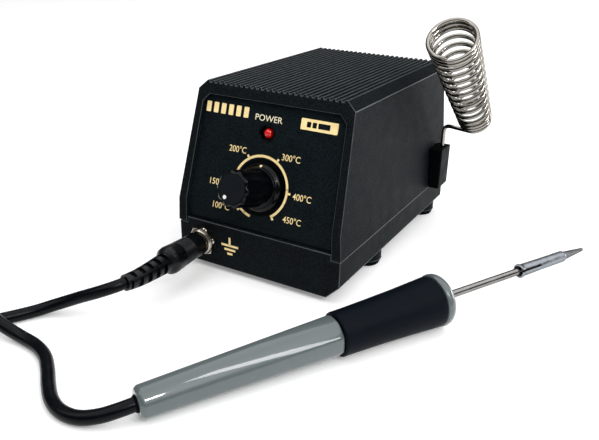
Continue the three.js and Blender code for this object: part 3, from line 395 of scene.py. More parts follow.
ABS = surface("abs_black", (0.0055, 0.0076, 0.0087), 0.5, spread=0.05, grain_mm=0.7, speckle=2.5,
              grain_depth=0.2, grain_bump=0.8, shade=0.1, specular=0.08, ior=1.25)
# Lighter, shinier colour for the bevels along the case's edges and rib crests: a painted highlight.
EDGE_HIGHLIGHT_PAINT = surface("abs_edge_painted_highlight", (0.05, 0.058, 0.061), 0.4, spread=0.08, grain_mm=0.8,
                    grain_depth=0.02, shade=0.3, mottle_mm=5, specular=0.2)
PANEL = surface("panel_black", (0.0046, 0.0078, 0.0095), 0.45, spread=0.04, grain_mm=0.6,
                grain_depth=0.16, grain_bump=0.8, shade=0.1, speckle=3.0, specular=0.12, ior=1.25)
MATTE = surface("cap_matte", (0.006, 0.0084, 0.0112), 0.6, grain_mm=0.2, grain_depth=0.02, shade=0.1,
                specular=0.15, ior=1.25)
RUBBER = surface("rubber_black", (0.0012, 0.0017, 0.0021), 0.45, spread=0.07, grain_mm=0.5,
                 grain_depth=0.04, shade=0.15, mottle_mm=6, specular=0.07, ior=1.25)
GRIP = surface("grip_rubber", (0.0018, 0.0036, 0.0064), 0.5, spread=0.06, grain_mm=0.8,
               grain_depth=0.03, shade=0.12, mottle_mm=7, specular=0.15, ior=1.25)
MOULDED = surface("plug_moulding", (0.0016, 0.0024, 0.0034), 0.3, spread=0.06, grain_mm=0.5,
                  grain_depth=0.025, shade=0.12, specular=0.4, ior=1.35)
JACKET = surface("cord_jacket", (0.0009, 0.0016, 0.0026), 0.26, spread=0.06, grain_mm=0.9,
                 grain_depth=0.02, shade=0.15, mottle_mm=5, specular=0.25, ior=1.3)
GLOSS = surface("gloss_black", (0.0008, 0.0012, 0.0018), 0.09, spread=0.03, grain_mm=1.4,
                grain_depth=0.004, shade=0.1, scratch=0.05, specular=0.2, ior=1.4)
KNOB_WALL = surface("knob_wall", (0.0008, 0.0014, 0.0024), 0.36, spread=0.05, grain_mm=0.9,
                    grain_depth=0.01, shade=0.15, specular=0.08, ior=1.2)
GREY = surface("handle_grey_green", (0.08, 0.099, 0.101), 0.34, spread=0.04, grain_mm=1.8,
               grain_depth=0.004, shade=0.03, mottle_mm=12, coat=0.8, coat_rough=0.05,
               scratch=0.07, subsurface=0.02, specular=0.2)
STEEL = surface("drawn_steel", (0.29, 0.275, 0.25), 0.1, metal=1, edge=0.25, spread=0.04,
                grain_mm=0.5, grain_depth=0.006, shade=0.08, mottle_mm=4)
TUBE_STEEL = surface("barrel_steel", (0.24, 0.235, 0.23), 0.2, metal=1, edge=0.3, spread=0.07,
                     grain_mm=0.3, grain_depth=0.008, shade=0.12, mottle_mm=5)
TIP_PLATE = surface("tip_plating", (0.28, 0.3, 0.325), 0.34, metal=1, edge=0.3, spread=0.08,
                    grain_mm=0.35, grain_depth=0.012, shade=0.14, mottle_mm=3)
TINNED = surface("tip_tinned", (0.17, 0.175, 0.18), 0.36, metal=1, edge=0.3, spread=0.08,
                 grain_mm=0.6, grain_depth=0.02, shade=0.18, mottle_mm=2)
NICKEL = surface("nickel_plate", (0.5, 0.46, 0.4), 0.2, metal=1, spread=0.07, grain_mm=0.3,
                 grain_depth=0.006, shade=0.1, mottle_mm=4)
ALUMINIUM = surface("aluminium", (0.56, 0.57, 0.58), 0.38, metal=1, spread=0.08, grain_mm=0.5,
                    grain_depth=0.01, stretch=(0.08, 1, 1), shade=0.06)
LAMINATION = surface("iron_laminations", (0.1, 0.1, 0.105), 0.5, metal=0.7, grain_mm=0.5,
                     grain_depth=0.05, stretch=(0.05, 1, 0.05), shade=0.15)
COPPER = surface("enamelled_copper", (0.42, 0.13, 0.045), 0.3, metal=0.9, grain_mm=0.6,
                 grain_depth=0.1, stretch=(0.05, 0.05, 1), shade=0.15)
BOARD = surface("circuit_board", (0.012, 0.085, 0.035), 0.35, grain_mm=1.2, grain_depth=0.02,
                shade=0.25, mottle_mm=3)
CERAMIC = surface("ceramic_rod", (0.76, 0.73, 0.66), 0.4, grain_mm=0.6, grain_depth=0.01, shade=0.06)
PRINT = surface("gold_print", (1.0, 0.745, 0.36), 0.5, spread=0.1, grain_mm=0.5, grain_depth=0.01,
                shade=0.08, mottle_mm=3, specular=0.3)
PRINT_PALE = surface("pale_print", (0.88, 0.8, 0.58), 0.5, spread=0.1, grain_mm=0.5,
                     grain_depth=0.01, shade=0.08, mottle_mm=3, specular=0.3)
WHITE = surface("white_print", (0.85, 0.85, 0.83), 0.4, grain_mm=0.3, grain_depth=0.01, shade=0.05)
LENS = surface("red_lens", (0.62, 0.006, 0.004), 0.1, spread=0.03, grain_mm=1.5,
               grain_depth=0.003, shade=0.15, mottle_mm=2, coat=0.4, coat_rough=0.05, subsurface=0.4)

SLOT_LOOKS = {
    "abs": ABS, "panel": PANEL, "rubber": RUBBER, "gloss": GLOSS, "cord": JACKET, "grey": GREY,
    "steel": STEEL, "nickel": NICKEL, "aluminium": ALUMINIUM, "iron": LAMINATION, "gold": PRINT,
    "red": LENS, "copper": COPPER, "board": BOARD, "ceramic": CERAMIC,
}

# ----------------------------
# Cord: from the plug, round a coil put away to the left, to the iron
# ----------------------------
CORD_STEP = 2.2
CORD_SIDES = 20
BUSH_REACH = 2.5  # how far the cord runs on into the handle's bush
COIL_CENTRE = (-128.2, -110.0)
LEAD_A = [
    (-33.2, -56.8, 16.5), (-34.5, -60.6, 16.3), (-37.8, -63.9, 15.1), (-43.2, -66.5, 12.8),
    (-49.8, -68.6, 9.9), (-56.3, -70.9, 6.9), (-62.0, -74.4, 4.6), (-66.6, -79.6, 3.2),
    (-70.6, -86.0, 2.9), (-74.8, -93.0, 2.9), (-79.4, -100.2, 2.9), (-85.9, -110.1, 2.9),
]
LEAD_B = [
    (-88.6, -94.3, 11.8), (-81.9, -96.4, 10.4), (-73.6, -97.9, 8.8), (-65.3, -98.4, 6.2),
    (-56.0, -97.7, 3.7), (-45.2, -98.3, 2.9), (-35.9, -101.6, 2.9), (-27.6, -107.4, 2.9),
    (-19.8, -113.8, 2.9), (-12.0, -119.2, 2.9), (-3.9, -122.0, 2.9), (4.4, -121.6, 3.4),
    (11.4, -118.2, 4.7), (16.4, -113.5, 6.1), (19.3, -109.55, 6.79),
]
BRIDGE = (-98.6, -89.6, 13.3)  # where the cord leaves the coil's top
COIL_TURN_POINTS = 24
# (turns from the start, radius, height) of the coil's winding, eased between
COIL_WINDING = [
    (0.0, 35.6, 2.9), (0.9, 35.9, 2.9), (1.1, 30.1, 2.9), (1.9, 30.1, 2.9),
    (2.1, 30.1, 8.65), (2.9, 30.1, 8.65), (3.1, 35.9, 8.65), (3.9, 35.9, 8.65),
    (4.12, 33.0, 14.3), (4.72, 33.4, 14.3),
]
COIL_START = math.radians(-33)


def winding(turn):
    """Radius and height of the coil a number of turns from its start."""
    for (t0, r0, z0), (t1, r1, z1) in zip(COIL_WINDING, COIL_WINDING[1:]):
        if turn <= t1:
            share = min(max((turn - t0) / (t1 - t0), 0), 1)
            share = share * share * (3 - 2 * share)
            return r0 + (r1 - r0) * share, z0 + (z1 - z0) * share
    return COIL_WINDING[-1][1:]


def cord_route():
    """Centres of the cord in the case frame, from the plug's relief to the iron's butt."""
    turns = COIL_WINDING[-1][0]
    coil = []
    for i in range(1, round(turns * COIL_TURN_POINTS) + 1):
        turn = i / COIL_TURN_POINTS
        radius, z = winding(turn)
        angle = COIL_START - 2 * math.pi * turn
        coil.append((COIL_CENTRE[0] + radius * math.cos(angle),
                     COIL_CENTRE[1] + radius * math.sin(angle), z))
    return smooth_path(LEAD_A[:-1] + coil + [BRIDGE] + LEAD_B, CORD_STEP)


def make_cord():
    """The one real cord, from the plug's relief round the coil and into the handle's bush."""
    route = cord_route()
    inside_bush = Vector(IRON_BUTT) + IRON_DIRECTION * BUSH_REACH
    verts, faces = tube(route + [inside_bush], CORD_RADIUS, CORD_SIDES)
    cord = piece("cord", verts, faces, CASE, None, "cord", JACKET,
                 ("cord_lead_plug", "cord_lead_iron", "cord_coil"))
    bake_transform(cord)


make_cord()

# ----------------------------
# CAD nodes that keep their shape: eased edges and a finish each
# ----------------------------
WELD_GAP = 2e-6
FLAT_ANGLE = math.radians(0.6)
SHARP_ANGLE = math.radians(30)
# Bevel widths of the case parts whose rounded edges carry the painted highlight colour.
PAINTED_HIGHLIGHT_EDGES = {"top_cover": 0.22, "base_tray": 0.4}
EASED_EDGES = {
    "front_panel": 0.25, "holder_bracket": 0.9, "rear_panel": 0.2, "inlet_housing": 0.4,
    "rocker_housing": 0.4, "rocker": 0.35,
}


def ease(node, width, angle=28, highlight_paint=None):
    """Rounds a CAD node's hard edges with modifiers, leaving its mesh alone."""
    obj = NODES[node]
    if highlight_paint:
        obj.data.materials.append(highlight_paint)
    weld = obj.modifiers.new("weld", "WELD")
    weld.merge_threshold = WELD_GAP
    flat = obj.modifiers.new("flat", "DECIMATE")
    flat.decimate_type = "DISSOLVE"
    flat.angle_limit = FLAT_ANGLE
    bevel = obj.modifiers.new("bevel", "BEVEL")
    bevel.width = width * MM
    bevel.segments = 3
    bevel.limit_method = "ANGLE"
    bevel.angle_limit = math.radians(angle)
    bevel.use_clamp_overlap = False
    # the rounded edges take the painted highlight material, when one is given
    bevel.material = 1 if highlight_paint else -1
    normals = obj.modifiers.new("normals", "WEIGHTED_NORMAL")
    normals.keep_sharp = True


def dress_nodes():
    """Gives every CAD node its slot's finish."""
    slots = {s["node"]: s["material_slot"] for s in frame["record"]["subparts"]}
    for name, obj in NODES.items():
        obj.data.materials.clear()
        obj.data.materials.append(SLOT_LOOKS[slots[name]])
        if obj.data.has_custom_normals:
            obj.data.attributes.remove(obj.data.attributes["custom_normal"])
        obj.data.polygons.foreach_set("use_smooth", [True] * len(obj.data.polygons))
        obj.data.set_sharp_from_angle(angle=SHARP_ANGLE)


dress_nodes()
for node, width in PAINTED_HIGHLIGHT_EDGES.items():
    ease(node, width, highlight_paint=EDGE_HIGHLIGHT_PAINT)
for node, width in EASED_EDGES.items():
    ease(node, width)

# ----------------------------
# Dial knob and lamp
# ----------------------------
FLUTES = 10
FLUTE_DEPTH = 0.95
FLUTE_FADE = 1.5  # depth below the face over which the flutes come in
SKIRT_RADIUS = 11.8
SKIRT_BACK_Y = 1.3
BARREL_RADIUS = 9.0
BARREL_SIDES = 360
BORE_RADIUS = 3.3
RIM_DEPTH = 1.5  # depth of the bevelled rim behind the knob's face
CAP_RADIUS = 6.95
CAP_GAP = 0.12
DOT = (-3.1, -4.2)  # white dot on the cap, from its middle
DOT_RADIUS = 1.0
LENS_LENGTH = 6.4  # the lamp's straight part, behind its dome
DOME_STEPS = 12


def fluted(angle, radius, y):
    """Scallops along the barrel that fade out at its rim."""
    wave = 0.5 - 0.5 * math.cos(FLUTES * angle)
    fade = min(max((y - KNOB_FACE) / FLUTE_FADE, 0), 1)
    return radius - FLUTE_DEPTH * wave * fade


def skirt_gold_mark():
    """A thin mark lying on the skirt's upper slope."""
    low, high = (-1.66, 10.25), (-0.88, 11.2)
    front = [(-0.5, *low), (0.5, *low), (0.55, *high), (-0.55, *high)]
    verts = front + [(x, y + 0.2, z - 0.1) for x, y, z in front]
    faces = [(0, 1, 2, 3), (7, 6, 5, 4)]
    faces += [(i, i + 4, (i + 1) % 4 + 4, (i + 1) % 4) for i in range(4)]
    return verts, faces


def make_knob():
    """Glossy skirt, fluted walls, bevelled rim, matt cap disc, white dot and a small gold mark on the
    skirt.
    """
    skirt = fillet([
        (8.9, SKIRT_BACK_Y), (SKIRT_RADIUS - 0.1, SKIRT_BACK_Y), (SKIRT_RADIUS, 0.9),
        (SKIRT_RADIUS, -0.1), (11.2, -0.8), (10.3, -1.5), (9.9, -2.6), (8.2, -2.9),
    ], 0.35, steps=4)
    piece("knob_skirt", *lathe(skirt, 96), CONTROL, "knob", "gloss", GLOSS, ("knob_body",), sharp=60)
    rim_back = KNOB_FACE + RIM_DEPTH
    well = CAP_RADIUS + CAP_GAP
    barrel = [(8.2, -2.7), (BARREL_RADIUS, -3.0), (BARREL_RADIUS - 0.25, rim_back),
              (well, rim_back), (0.0, rim_back)]
    bore = [(8.9, SKIRT_BACK_Y), (BORE_RADIUS, SKIRT_BACK_Y), (BORE_RADIUS, -8)]
    walls = merged(lathe(fillet(barrel, 0.3), BARREL_SIDES, shape=fluted), lathe(bore, 48))
    piece("knob_walls", *walls, CONTROL, "knob", "gloss", KNOB_WALL, sharp=60)
    rim = fillet([(BARREL_RADIUS - 0.25, rim_back), (BARREL_RADIUS - 0.3, KNOB_FACE + 1.1),
                  (BARREL_RADIUS - 1.55, KNOB_FACE + 0.15), (well, KNOB_FACE + 0.25),
                  (well, rim_back + 0.1)], 0.2)
    rim_verts, rim_faces = lathe(rim, BARREL_SIDES, shape=fluted)
    piece("knob_rim", rim_verts, rim_faces, CONTROL, "knob", "gloss", GLOSS, sharp=60)
    cap = fillet([(CAP_RADIUS, KNOB_FACE + 1.2), (CAP_RADIUS, KNOB_FACE + 0.25),
                  (CAP_RADIUS - 0.5, KNOB_FACE + 0.05), (0, KNOB_FACE + 0.12)], 0.25)
    verts, faces = lathe(cap, 96)
    piece("knob_disc", verts, faces, CONTROL, "knob", "panel", MATTE, ("knob_cap",), sharp=40)
    dot = fillet([(DOT_RADIUS, 0.02), (DOT_RADIUS - 0.05, -0.04), (0.0, -0.07)], 0.03)
    spot = shifted(CONTROL, DOT[0], KNOB_FACE + 0.09, DOT[1])
    piece("knob_dot", *lathe(dot, 40), spot, "knob", "gold", WHITE)
    # a small gold patch on the skirt's upper slope
    piece("knob_skirt_gold_mark", *skirt_gold_mark(), CONTROL, "knob", "gold", PRINT)


def make_lamp():
    """Red dome-ended lens and the glossy cup round it."""
    widest = PANEL_DEPTH + LAMP_SINK
    tail = widest + LENS_LENGTH
    dome = [(0, tail), (LAMP_RADIUS - 0.1, tail), (LAMP_RADIUS, widest + 0.3)]
    for i in range(DOME_STEPS + 1):
        angle = i / DOME_STEPS * math.pi / 2
        dome.append((LAMP_RADIUS * math.cos(angle), widest - LAMP_RADIUS * math.sin(angle)))
    dome[-1] = (0, dome[-1][1])
    piece("lamp_dome", *lathe(dome, 64), LAMP, "case", "red", LENS, ("lamp_lens",), sharp=50)
    rim = LAMP_HOLE_RADIUS - 0.3
    back = PANEL_DEPTH + 2.1
    floor = widest + 0.4
    cup = fillet([
        (rim - 0.45, PANEL_DEPTH + 0.1), (rim, PANEL_DEPTH + 0.1), (rim, back), (rim + 1.2, back),
        (rim + 1.2, floor + 1.2), (3.7, floor + 3.5), (2.8, floor + 3.5), (2.8, floor),
        (rim - 0.45, floor)], 0.2, True)
    piece("lamp_cup", *lathe(cup, 96, closed=True), LAMP, "case", "gloss", GLOSS, ("lamp_holder",))


make_knob()
make_lamp()

# ----------------------------
# Print on the panel: dial scale, numbers, lamp label, and plain marks
# ----------------------------
PRINT_THICK = 0.03
SCALE_X = -1.0
SCALE_RADIUS = 15.3
SCALE_HALF_WIDTH = 0.62
SCALE_FROM, SCALE_TO = -168, 147  # degrees clockwise from the top
SCALE_STEPS = 90
TICK_LENGTH, TICK_HALF_WIDTH = 2.0, 0.55
DIAL_MARKS = [  # label, angle of its tick, centre of the label from the panel's middle
    ("100°C", -141, (-21.8, 0.7)), ("150°C", -88, (-25.5, 12.2)), ("200°C", -33, (-16.7, 30.3)),
    ("300°C", 28, (13.7, 30.8)), ("400°C", 90, (22.7, 13.5)), ("450°C", 145, (19.3, 1.7)),
]
DIGIT_HEIGHT = 3.3
LABEL_WIDTH = 10.0
DISC_RADIUS = 14.0  # glossy black disc under the knob
LAMP_LABEL_X, LAMP_LABEL_U = -1.7, 47.4
LAMP_LABEL_HEIGHT, LAMP_LABEL_WIDTH = 3.0, 15.2
TITLE_BAR_COUNT = 6
TITLE_BARS_FROM, TITLE_BARS_TO, TITLE_BARS_U = -39.6, -12.6, 48.6
TITLE_BAR_HEIGHT = 5.2
PLATE_WIDTH, PLATE_HEIGHT, PLATE_THICK = 19.3, 5.3, 0.6
PLATE_MARKS = [(-5.4, 2.2), (-2.4, 2.2), (2.6, 6.2)]  # centre and width of each mark
GROUND_X, GROUND_Z = -15.6, 15.2
GROUND_LINE = 1.2  # stroke width of the earth symbol


def flat_print(shapes):
    """Thin raised prints: outlines of (x, z) points, just in front of a face at y = 0."""
    return merged(*[prism(outline, -PRINT_THICK, 0.0) for outline in shapes])


def bar(x, z, width, height, radius=0.25):
    """A rounded bar's outline about a centre."""
    w, h = width / 2, height / 2
    return fillet([(x - w, z - h), (x + w, z - h), (x + w, z + h), (x - w, z + h)], radius, True)


def scale_arc():
    """The dial's arc and ticks, as outlines about the knob's axis."""
    shapes = []
    sweep = SCALE_TO - SCALE_FROM
    inner, outer = SCALE_RADIUS - SCALE_HALF_WIDTH, SCALE_RADIUS + SCALE_HALF_WIDTH
    for i in range(SCALE_STEPS):
        a, b = [math.radians(SCALE_FROM + sweep * (i + k) / SCALE_STEPS) for k in (0, 1)]
        shapes.append([
            (inner * math.sin(a), inner * math.cos(a)), (outer * math.sin(a), outer * math.cos(a)),
            (outer * math.sin(b), outer * math.cos(b)), (inner * math.sin(b), inner * math.cos(b)),
        ])
    for _, angle, _ in DIAL_MARKS:
        a = math.radians(angle)
        out, side = Vector((math.sin(a), math.cos(a))), Vector((math.cos(a), -math.sin(a)))
        low, high, half = SCALE_RADIUS, SCALE_RADIUS + TICK_LENGTH, TICK_HALF_WIDTH
        shapes.append([tuple(out * r + side * s) for r, s in
                       ((low, -half), (high, -half), (high, half), (low, half))])
    return shapes


def lettering(text, height, matrix, width=None):
    """Vertices and faces of raised lettering, centred on the matrix's origin, facing -y."""
    curve = bpy.data.curves.new("lettering", "FONT")
    curve.body = text
    curve.size = 1
    curve.extrude = 0.5
    curve.resolution_u = 4
    curve.offset = 0.002
    holder = bpy.data.objects.new("lettering", curve)
    bpy.context.scene.collection.objects.link(holder)
    graph = bpy.context.evaluated_depsgraph_get()
    mesh = bpy.data.meshes.new_from_object(holder.evaluated_get(graph))
    xs = [v.co.x for v in mesh.vertices]
    ys = [v.co.y for v in mesh.vertices]
    size = height / (max(ys) - min(ys))
    wide = width / (max(xs) - min(xs)) if width else size
    middle = ((max(xs) + min(xs)) / 2, (max(ys) + min(ys)) / 2)
    verts = [matrix @ Vector(((v.co.x - middle[0]) * wide, -PRINT_THICK * (v.co.z + 0.5),
                              (v.co.y - middle[1]) * size)) for v in mesh.vertices]
    faces = [tuple(p.vertices) for p in mesh.polygons]
    bpy.data.objects.remove(holder)
    bpy.data.curves.remove(curve)
    bpy.data.meshes.remove(mesh)
    return verts, faces


def make_print():
    """Everything printed on the panel: scale, black disc, numbers, lamp label and title bars."""
    face = shifted(BEZEL, 0, PANEL_DEPTH, 0)
    dial = shifted(face, SCALE_X, 0, KNOB_U)
    piece("dial_scale", *flat_print(scale_arc()), dial, "case", "gold", PRINT)
    disc = lathe([(9.5, 0), (9.5, -PRINT_THICK), (DISC_RADIUS, -PRINT_THICK), (DISC_RADIUS, 0)], 120)
    piece("dial_disc", *disc, shifted(face, SCALE_X / 2, 0, KNOB_U), "case", "gloss", GLOSS)
    labels = []
    for text, _, (x, u) in DIAL_MARKS:
        labels.append(lettering(text, DIGIT_HEIGHT, Matrix.Translation((x, 0, u)), LABEL_WIDTH))
    piece("dial_numbers", *merged(*labels), face, "case", "gold", PRINT)
    above_lamp = Matrix.Translation((LAMP_LABEL_X, 0, LAMP_LABEL_U))
    power = lettering("POWER", LAMP_LABEL_HEIGHT, above_lamp, LAMP_LABEL_WIDTH)
    piece("lamp_label", *power, face, "case", "gold", PRINT_PALE)
    bars = []
    pitch = (TITLE_BARS_TO - TITLE_BARS_FROM) / TITLE_BAR_COUNT
    for i in range(TITLE_BAR_COUNT):
        middle = TITLE_BARS_FROM + pitch * (i + 0.5)
        bars.append(bar(middle, TITLE_BARS_U, pitch * 0.62, TITLE_BAR_HEIGHT, 0.5))
    piece("title_bars", *flat_print(bars), face, "case", "gold", PRINT)


def make_plate():
    """Gold nameplate with three plain marks."""
    outline = bar(0, 0, PLATE_WIDTH, PLATE_HEIGHT, 0.5)
    plate = shifted(BEZEL, PLATE_X, PANEL_DEPTH + 0.5, PLATE_U)
    slab = prism(outline, -PLATE_THICK, 0)
    piece("plate_face", *slab, plate, "case", "gold", PRINT, ("nameplate",))
    marks = [bar(x, 0, width, PLATE_HEIGHT - 2.7, 0.3) for x, width in PLATE_MARKS]
    front = shifted(plate, 0, -PLATE_THICK, 0)
    piece("plate_marks", *flat_print(marks), front, "case", "panel", PANEL)


def make_ground_symbol():
    """Earth symbol beside the socket, for the bonded tip."""
    face = shifted(CASE, GROUND_X, BASE_FRONT_Y, GROUND_Z)
    shapes = [bar(0, 3.3, GROUND_LINE, 4.6, 0.2)]
    shapes += [bar(0, 1.0 - 2.3 * i, 10.4 - 3.6 * i, GROUND_LINE, 0.2) for i in range(3)]
    piece("ground_symbol", *flat_print(shapes), face, "case", "gold", PRINT)


make_print()
make_plate()
make_ground_symbol()

# ----------------------------
# Socket nut, plug and strain relief
# ----------------------------
NUT_RADIUS = 8.2
NUT_BORE_RADIUS = 6.95
NUT_TURN = math.radians(12)
SLEEVE_THREADS = 4
THREAD_RADIUS, THREAD_DEPTH = 6.6, 0.2
SOCKET_DEPTH = 7.5
BAND_RIBS = 12
RELIEF_STEPS = 240
RELIEF_SIDES = 96
RELIEF_RADIUS, RELIEF_TAPER = 5.15, 1.3
RELIEF_SLOT_COLUMN = math.pi / 2
RELIEF_SLOT_TURN = 0.2
RELIEF_SLOT_PITCHES = 5.2  # pitches of one column of slots along the relief
RELIEF_SLOT_SPAN = (0.26, 0.74)  # share of a pitch that a slot takes
RELIEF_SLOT_HALF = 0.4  # half a slot's width, as a share of its column
RELIEF_SLOT_FLOOR = 0.66  # radius at a slot's floor, as a share of the relief's
RELIEF_PLAIN_END = 0.05  # share of the relief without slots at each end


def hexagonal(angle, radius, y):
    """Limits a round to a hexagon, so a chamfered turning meets flat sides."""
    flat = (angle - NUT_TURN) % (math.pi / 3) - math.pi / 6
    return min(radius, NUT_RADIUS * math.cos(math.pi / 6) / math.cos(flat))


def make_nut():
    """Six-sided nut with chamfered corners."""
    lip = fillet([(NUT_BORE_RADIUS, NUT_FRONT_Y + 0.25), (7.15, NUT_FRONT_Y)], 0.1)
    chamfered = lip + [(7.35, NUT_FRONT_Y), (NUT_RADIUS, NUT_FRONT_Y + 0.5), (NUT_RADIUS, -0.4),
                       (7.6, 0.0), (NUT_BORE_RADIUS, 0.0)]
    verts, faces = lathe(chamfered, 180, closed=True, shape=hexagonal)
    piece("socket_nut", verts, faces, JACK, "case", "nickel", NICKEL, ("jack_nut",), sharp=25)


def make_sleeve():
    """The socket's threaded metal sleeve, with the ring-shaped slot for the plug's shell."""
    threads_from = SLEEVE_FRONT_Y + 0.4
    outer = [(6.15, SLEEVE_FRONT_Y), (THREAD_RADIUS, threads_from)]
    pitch = (NUT_FRONT_Y - threads_from) / SLEEVE_THREADS
    for i in range(SLEEVE_THREADS):
        y = threads_from + i * pitch
        outer += [(THREAD_RADIUS, y + pitch * 0.2), (THREAD_RADIUS - THREAD_DEPTH, y + pitch * 0.5),
                  (THREAD_RADIUS, y + pitch * 0.9)]
    outer += [(THREAD_RADIUS, 3.0), (8.4, 3.0), (8.4, 12), (0, 12)]
    inner = [(0, -1), (4.4, -1), (4.4, SOCKET_DEPTH), (5.9, SOCKET_DEPTH),
             (5.9, SLEEVE_FRONT_Y + 0.2)]
    verts, faces = lathe(inner + outer, 96)
    piece("socket_sleeve", verts, faces, JACK, "case", "nickel", NICKEL, ("jack_body",), sharp=25)


def make_plug():
    """The plug's moulded body with a band of fine ribs."""
    profile = [(4.95, PLUG_BACK_Y - 5.5), (4.95, PLUG_BACK_Y), (6.1, PLUG_BACK_Y),
               (6.45, PLUG_BACK_Y - 0.4), (6.15, BAND_START_Y + 0.3)]
    pitch = (BAND_START_Y - BAND_END_Y) / BAND_RIBS
    for i in range(BAND_RIBS):
        y = BAND_START_Y - pitch * i
        crest = 6.35 + 0.4 * i / BAND_RIBS
        profile += [(crest - 0.2, y), (crest, y - pitch * 0.3), (crest, y - pitch * 0.7)]
    profile += [(6.6, BAND_END_Y), (6.85, BAND_END_Y - 0.5), (PLUG_RADIUS, PLUG_END_Y + 3.4),
                (PLUG_RADIUS - 0.35, PLUG_END_Y + 1.6), (5.25, PLUG_END_Y), (0, PLUG_END_Y)]
    verts, faces = lathe(fillet(profile, 0.18), 96)
    piece("plug_barrel", verts, faces, JACK, "cordset", "cord", MOULDED, ("plug_body",), sharp=40)


def relief_centres():
    """Centres of the strain relief in the socket's frame; it droops towards its thin end."""
    start = Vector((0, PLUG_END_Y + 0.4, 0))
    first, second = Vector(LEAD_A[0]), Vector(LEAD_A[1])
    end = first + (first - second).normalized() * 0.2 - Vector((JACK_X, 0, JACK_Z))
    centres = []
    for i in range(RELIEF_STEPS + 1):
        t = i / RELIEF_STEPS
        centres.append(Vector((end.x * t ** 4, start.y + (end.y - start.y) * t, end.z * t ** 4)))
    return centres


def relief_section(angle, share):
    """Four columns of deep slots along the relief, neighbouring columns half a pitch apart."""
    if share < RELIEF_PLAIN_END or share > 1 - RELIEF_PLAIN_END:
        return 1
    column, across = divmod(angle + RELIEF_SLOT_TURN, RELIEF_SLOT_COLUMN)
    place = (share * RELIEF_SLOT_PITCHES + 0.5 * (column % 2)) % 1
    low, high = RELIEF_SLOT_SPAN
    inside = abs(across / RELIEF_SLOT_COLUMN - 0.5) < RELIEF_SLOT_HALF and low < place < high
    return RELIEF_SLOT_FLOOR if inside else 1


def relief_radius(share):
    """Radius of the strain relief, which narrows along its length."""
    return RELIEF_RADIUS - RELIEF_TAPER * share


def make_relief():
    """The slotted strain relief behind the plug."""
    verts, faces = tube(relief_centres(), relief_radius, RELIEF_SIDES, relief_section)
    piece("plug_boot", verts, faces, JACK, "cordset", "cord", MOULDED, ("plug_relief",), sharp=38)


make_nut()
make_sleeve()
make_plug()
make_relief()

# ----------------------------
# Soldering iron
# ----------------------------
HANDLE_BUTT_RADIUS, HANDLE_FRONT_RADIUS = 6.75, 9.0
FACET_SOFTNESS = 0.45  # 0 is round, 1 is flat-sided
RIDGE_LIMIT = 0.975  # rounds the ridges between the facets
HANDLE_FRONT = GRIP_START - 0.25
CABLE_BORE_RADIUS = CORD_RADIUS + 0.12
BUSH_RADIUS = 3.42
GRIP_BORE_RADIUS = 7.4


def octagonal(angle, radius, y):
    """An eight-sided section with rounded ridges, flat side down."""
    flat = (angle + math.pi / 8) % (math.pi / 4) - math.pi / 8
    sharp = math.cos(math.pi / 8) / math.cos(flat)
    soft = min(sharp, RIDGE_LIMIT)
    return radius * (1 + (soft - 1) * FACET_SOFTNESS)


def make_handle():
    """The grey-green handle, a tapered eight-sided shell that runs on inside the grip."""
    outline = fillet([
        (3.45, 0.9), (3.7, 0.1), (HANDLE_BUTT_RADIUS - 1.0, 0.15), (HANDLE_BUTT_RADIUS, 1.5),
        ((HANDLE_BUTT_RADIUS + HANDLE_FRONT_RADIUS) / 2, HANDLE_FRONT / 2),
        (HANDLE_FRONT_RADIUS, HANDLE_FRONT - 1.5), (HANDLE_FRONT_RADIUS - 0.3, HANDLE_FRONT),
        (6.9, HANDLE_FRONT), (6.9, GRIP_END - 3),
    ], 0.9, steps=5)
    verts, faces = lathe([(3.3, 7)] + outline, 192, shape=octagonal)
    piece("handle_shell", verts, faces, IRON, "iron", "grey", GREY, ("iron_handle",), sharp=50)


def make_bush():
    """The rubber ring in the handle's butt, round the cord."""
    outline = fillet([
        (CABLE_BORE_RADIUS, 4), (CABLE_BORE_RADIUS, -0.6), (3.2, -0.7), (BUSH_RADIUS, -0.3),
        (BUSH_RADIUS, 0.9), (3.2, 1.6), (3.2, 6),
    ], 0.25)
    piece("handle_bush", *lathe(outline, 64, closed=True), IRON, "iron", "rubber", RUBBER,
          ("iron_bush",))


def make_grip():
    """The rubber grip, which swells towards the front."""
    outline = fillet([
        (GRIP_BORE_RADIUS, GRIP_START), (9.2, GRIP_START - 0.02), (9.75, GRIP_START + 0.7),
        (9.75, GRIP_START + 2.6), (9.8, GRIP_START + 7), (10.2, GRIP_START + 20),
        (10.8, GRIP_START + 34), (11.5, GRIP_END - 6), (11.75, GRIP_END - 1.6),
        (11.45, GRIP_END - 0.35), (GRIP_BORE_RADIUS, GRIP_END - 0.3),
    ], 0.9, steps=5)
    piece("grip_sleeve", *lathe(outline, 128, closed=True), IRON, "iron", "rubber", GRIP,
          ("iron_grip",), sharp=50)


def make_collar():
    """The grey-green collar in front of the grip, with a groove round its face."""
    outline = fillet([
        (5.0, GRIP_END + 1), (5.0, GRIP_END - 2.2), (5.6, GRIP_END), (11.7, GRIP_END),
        (12.05, GRIP_END + 0.5), (12.3, GRIP_END + 1.6), (12.1, GRIP_END + 3.0),
        (11.3, GRIP_END + 4.4), (9.8, GRIP_END + 5.0), (9.5, GRIP_END + 4.3), (8.9, GRIP_END + 4.3),
        (8.6, GRIP_END + 5.1), (3.3, COLLAR_END), (2.4, COLLAR_END),
        (2.4, COLLAR_END - 2.2), (5.0, GRIP_END + 3),
    ], 0.5, True, steps=4)
    piece("nose_collar", *lathe(outline, 128, closed=True), IRON, "iron", "grey", GREY,
          ("iron_collar",), sharp=50)


SLEEVE_SIDES = 96
TIP_SLOT_HALF = 3  # half the width of a slot, in sides
TIP_SLOT_MIDDLES = (7, SLEEVE_SIDES // 2 + 7)
TIP_SLOT_LOW, TIP_SLOT_HIGH = TIP_START - 0.1, TIP_START + 13.5
SLEEVE_ROWS = 9
SLEEVE_ROW_PITCH = 1.26
SLEEVE_BORE_RADIUS = 2.35


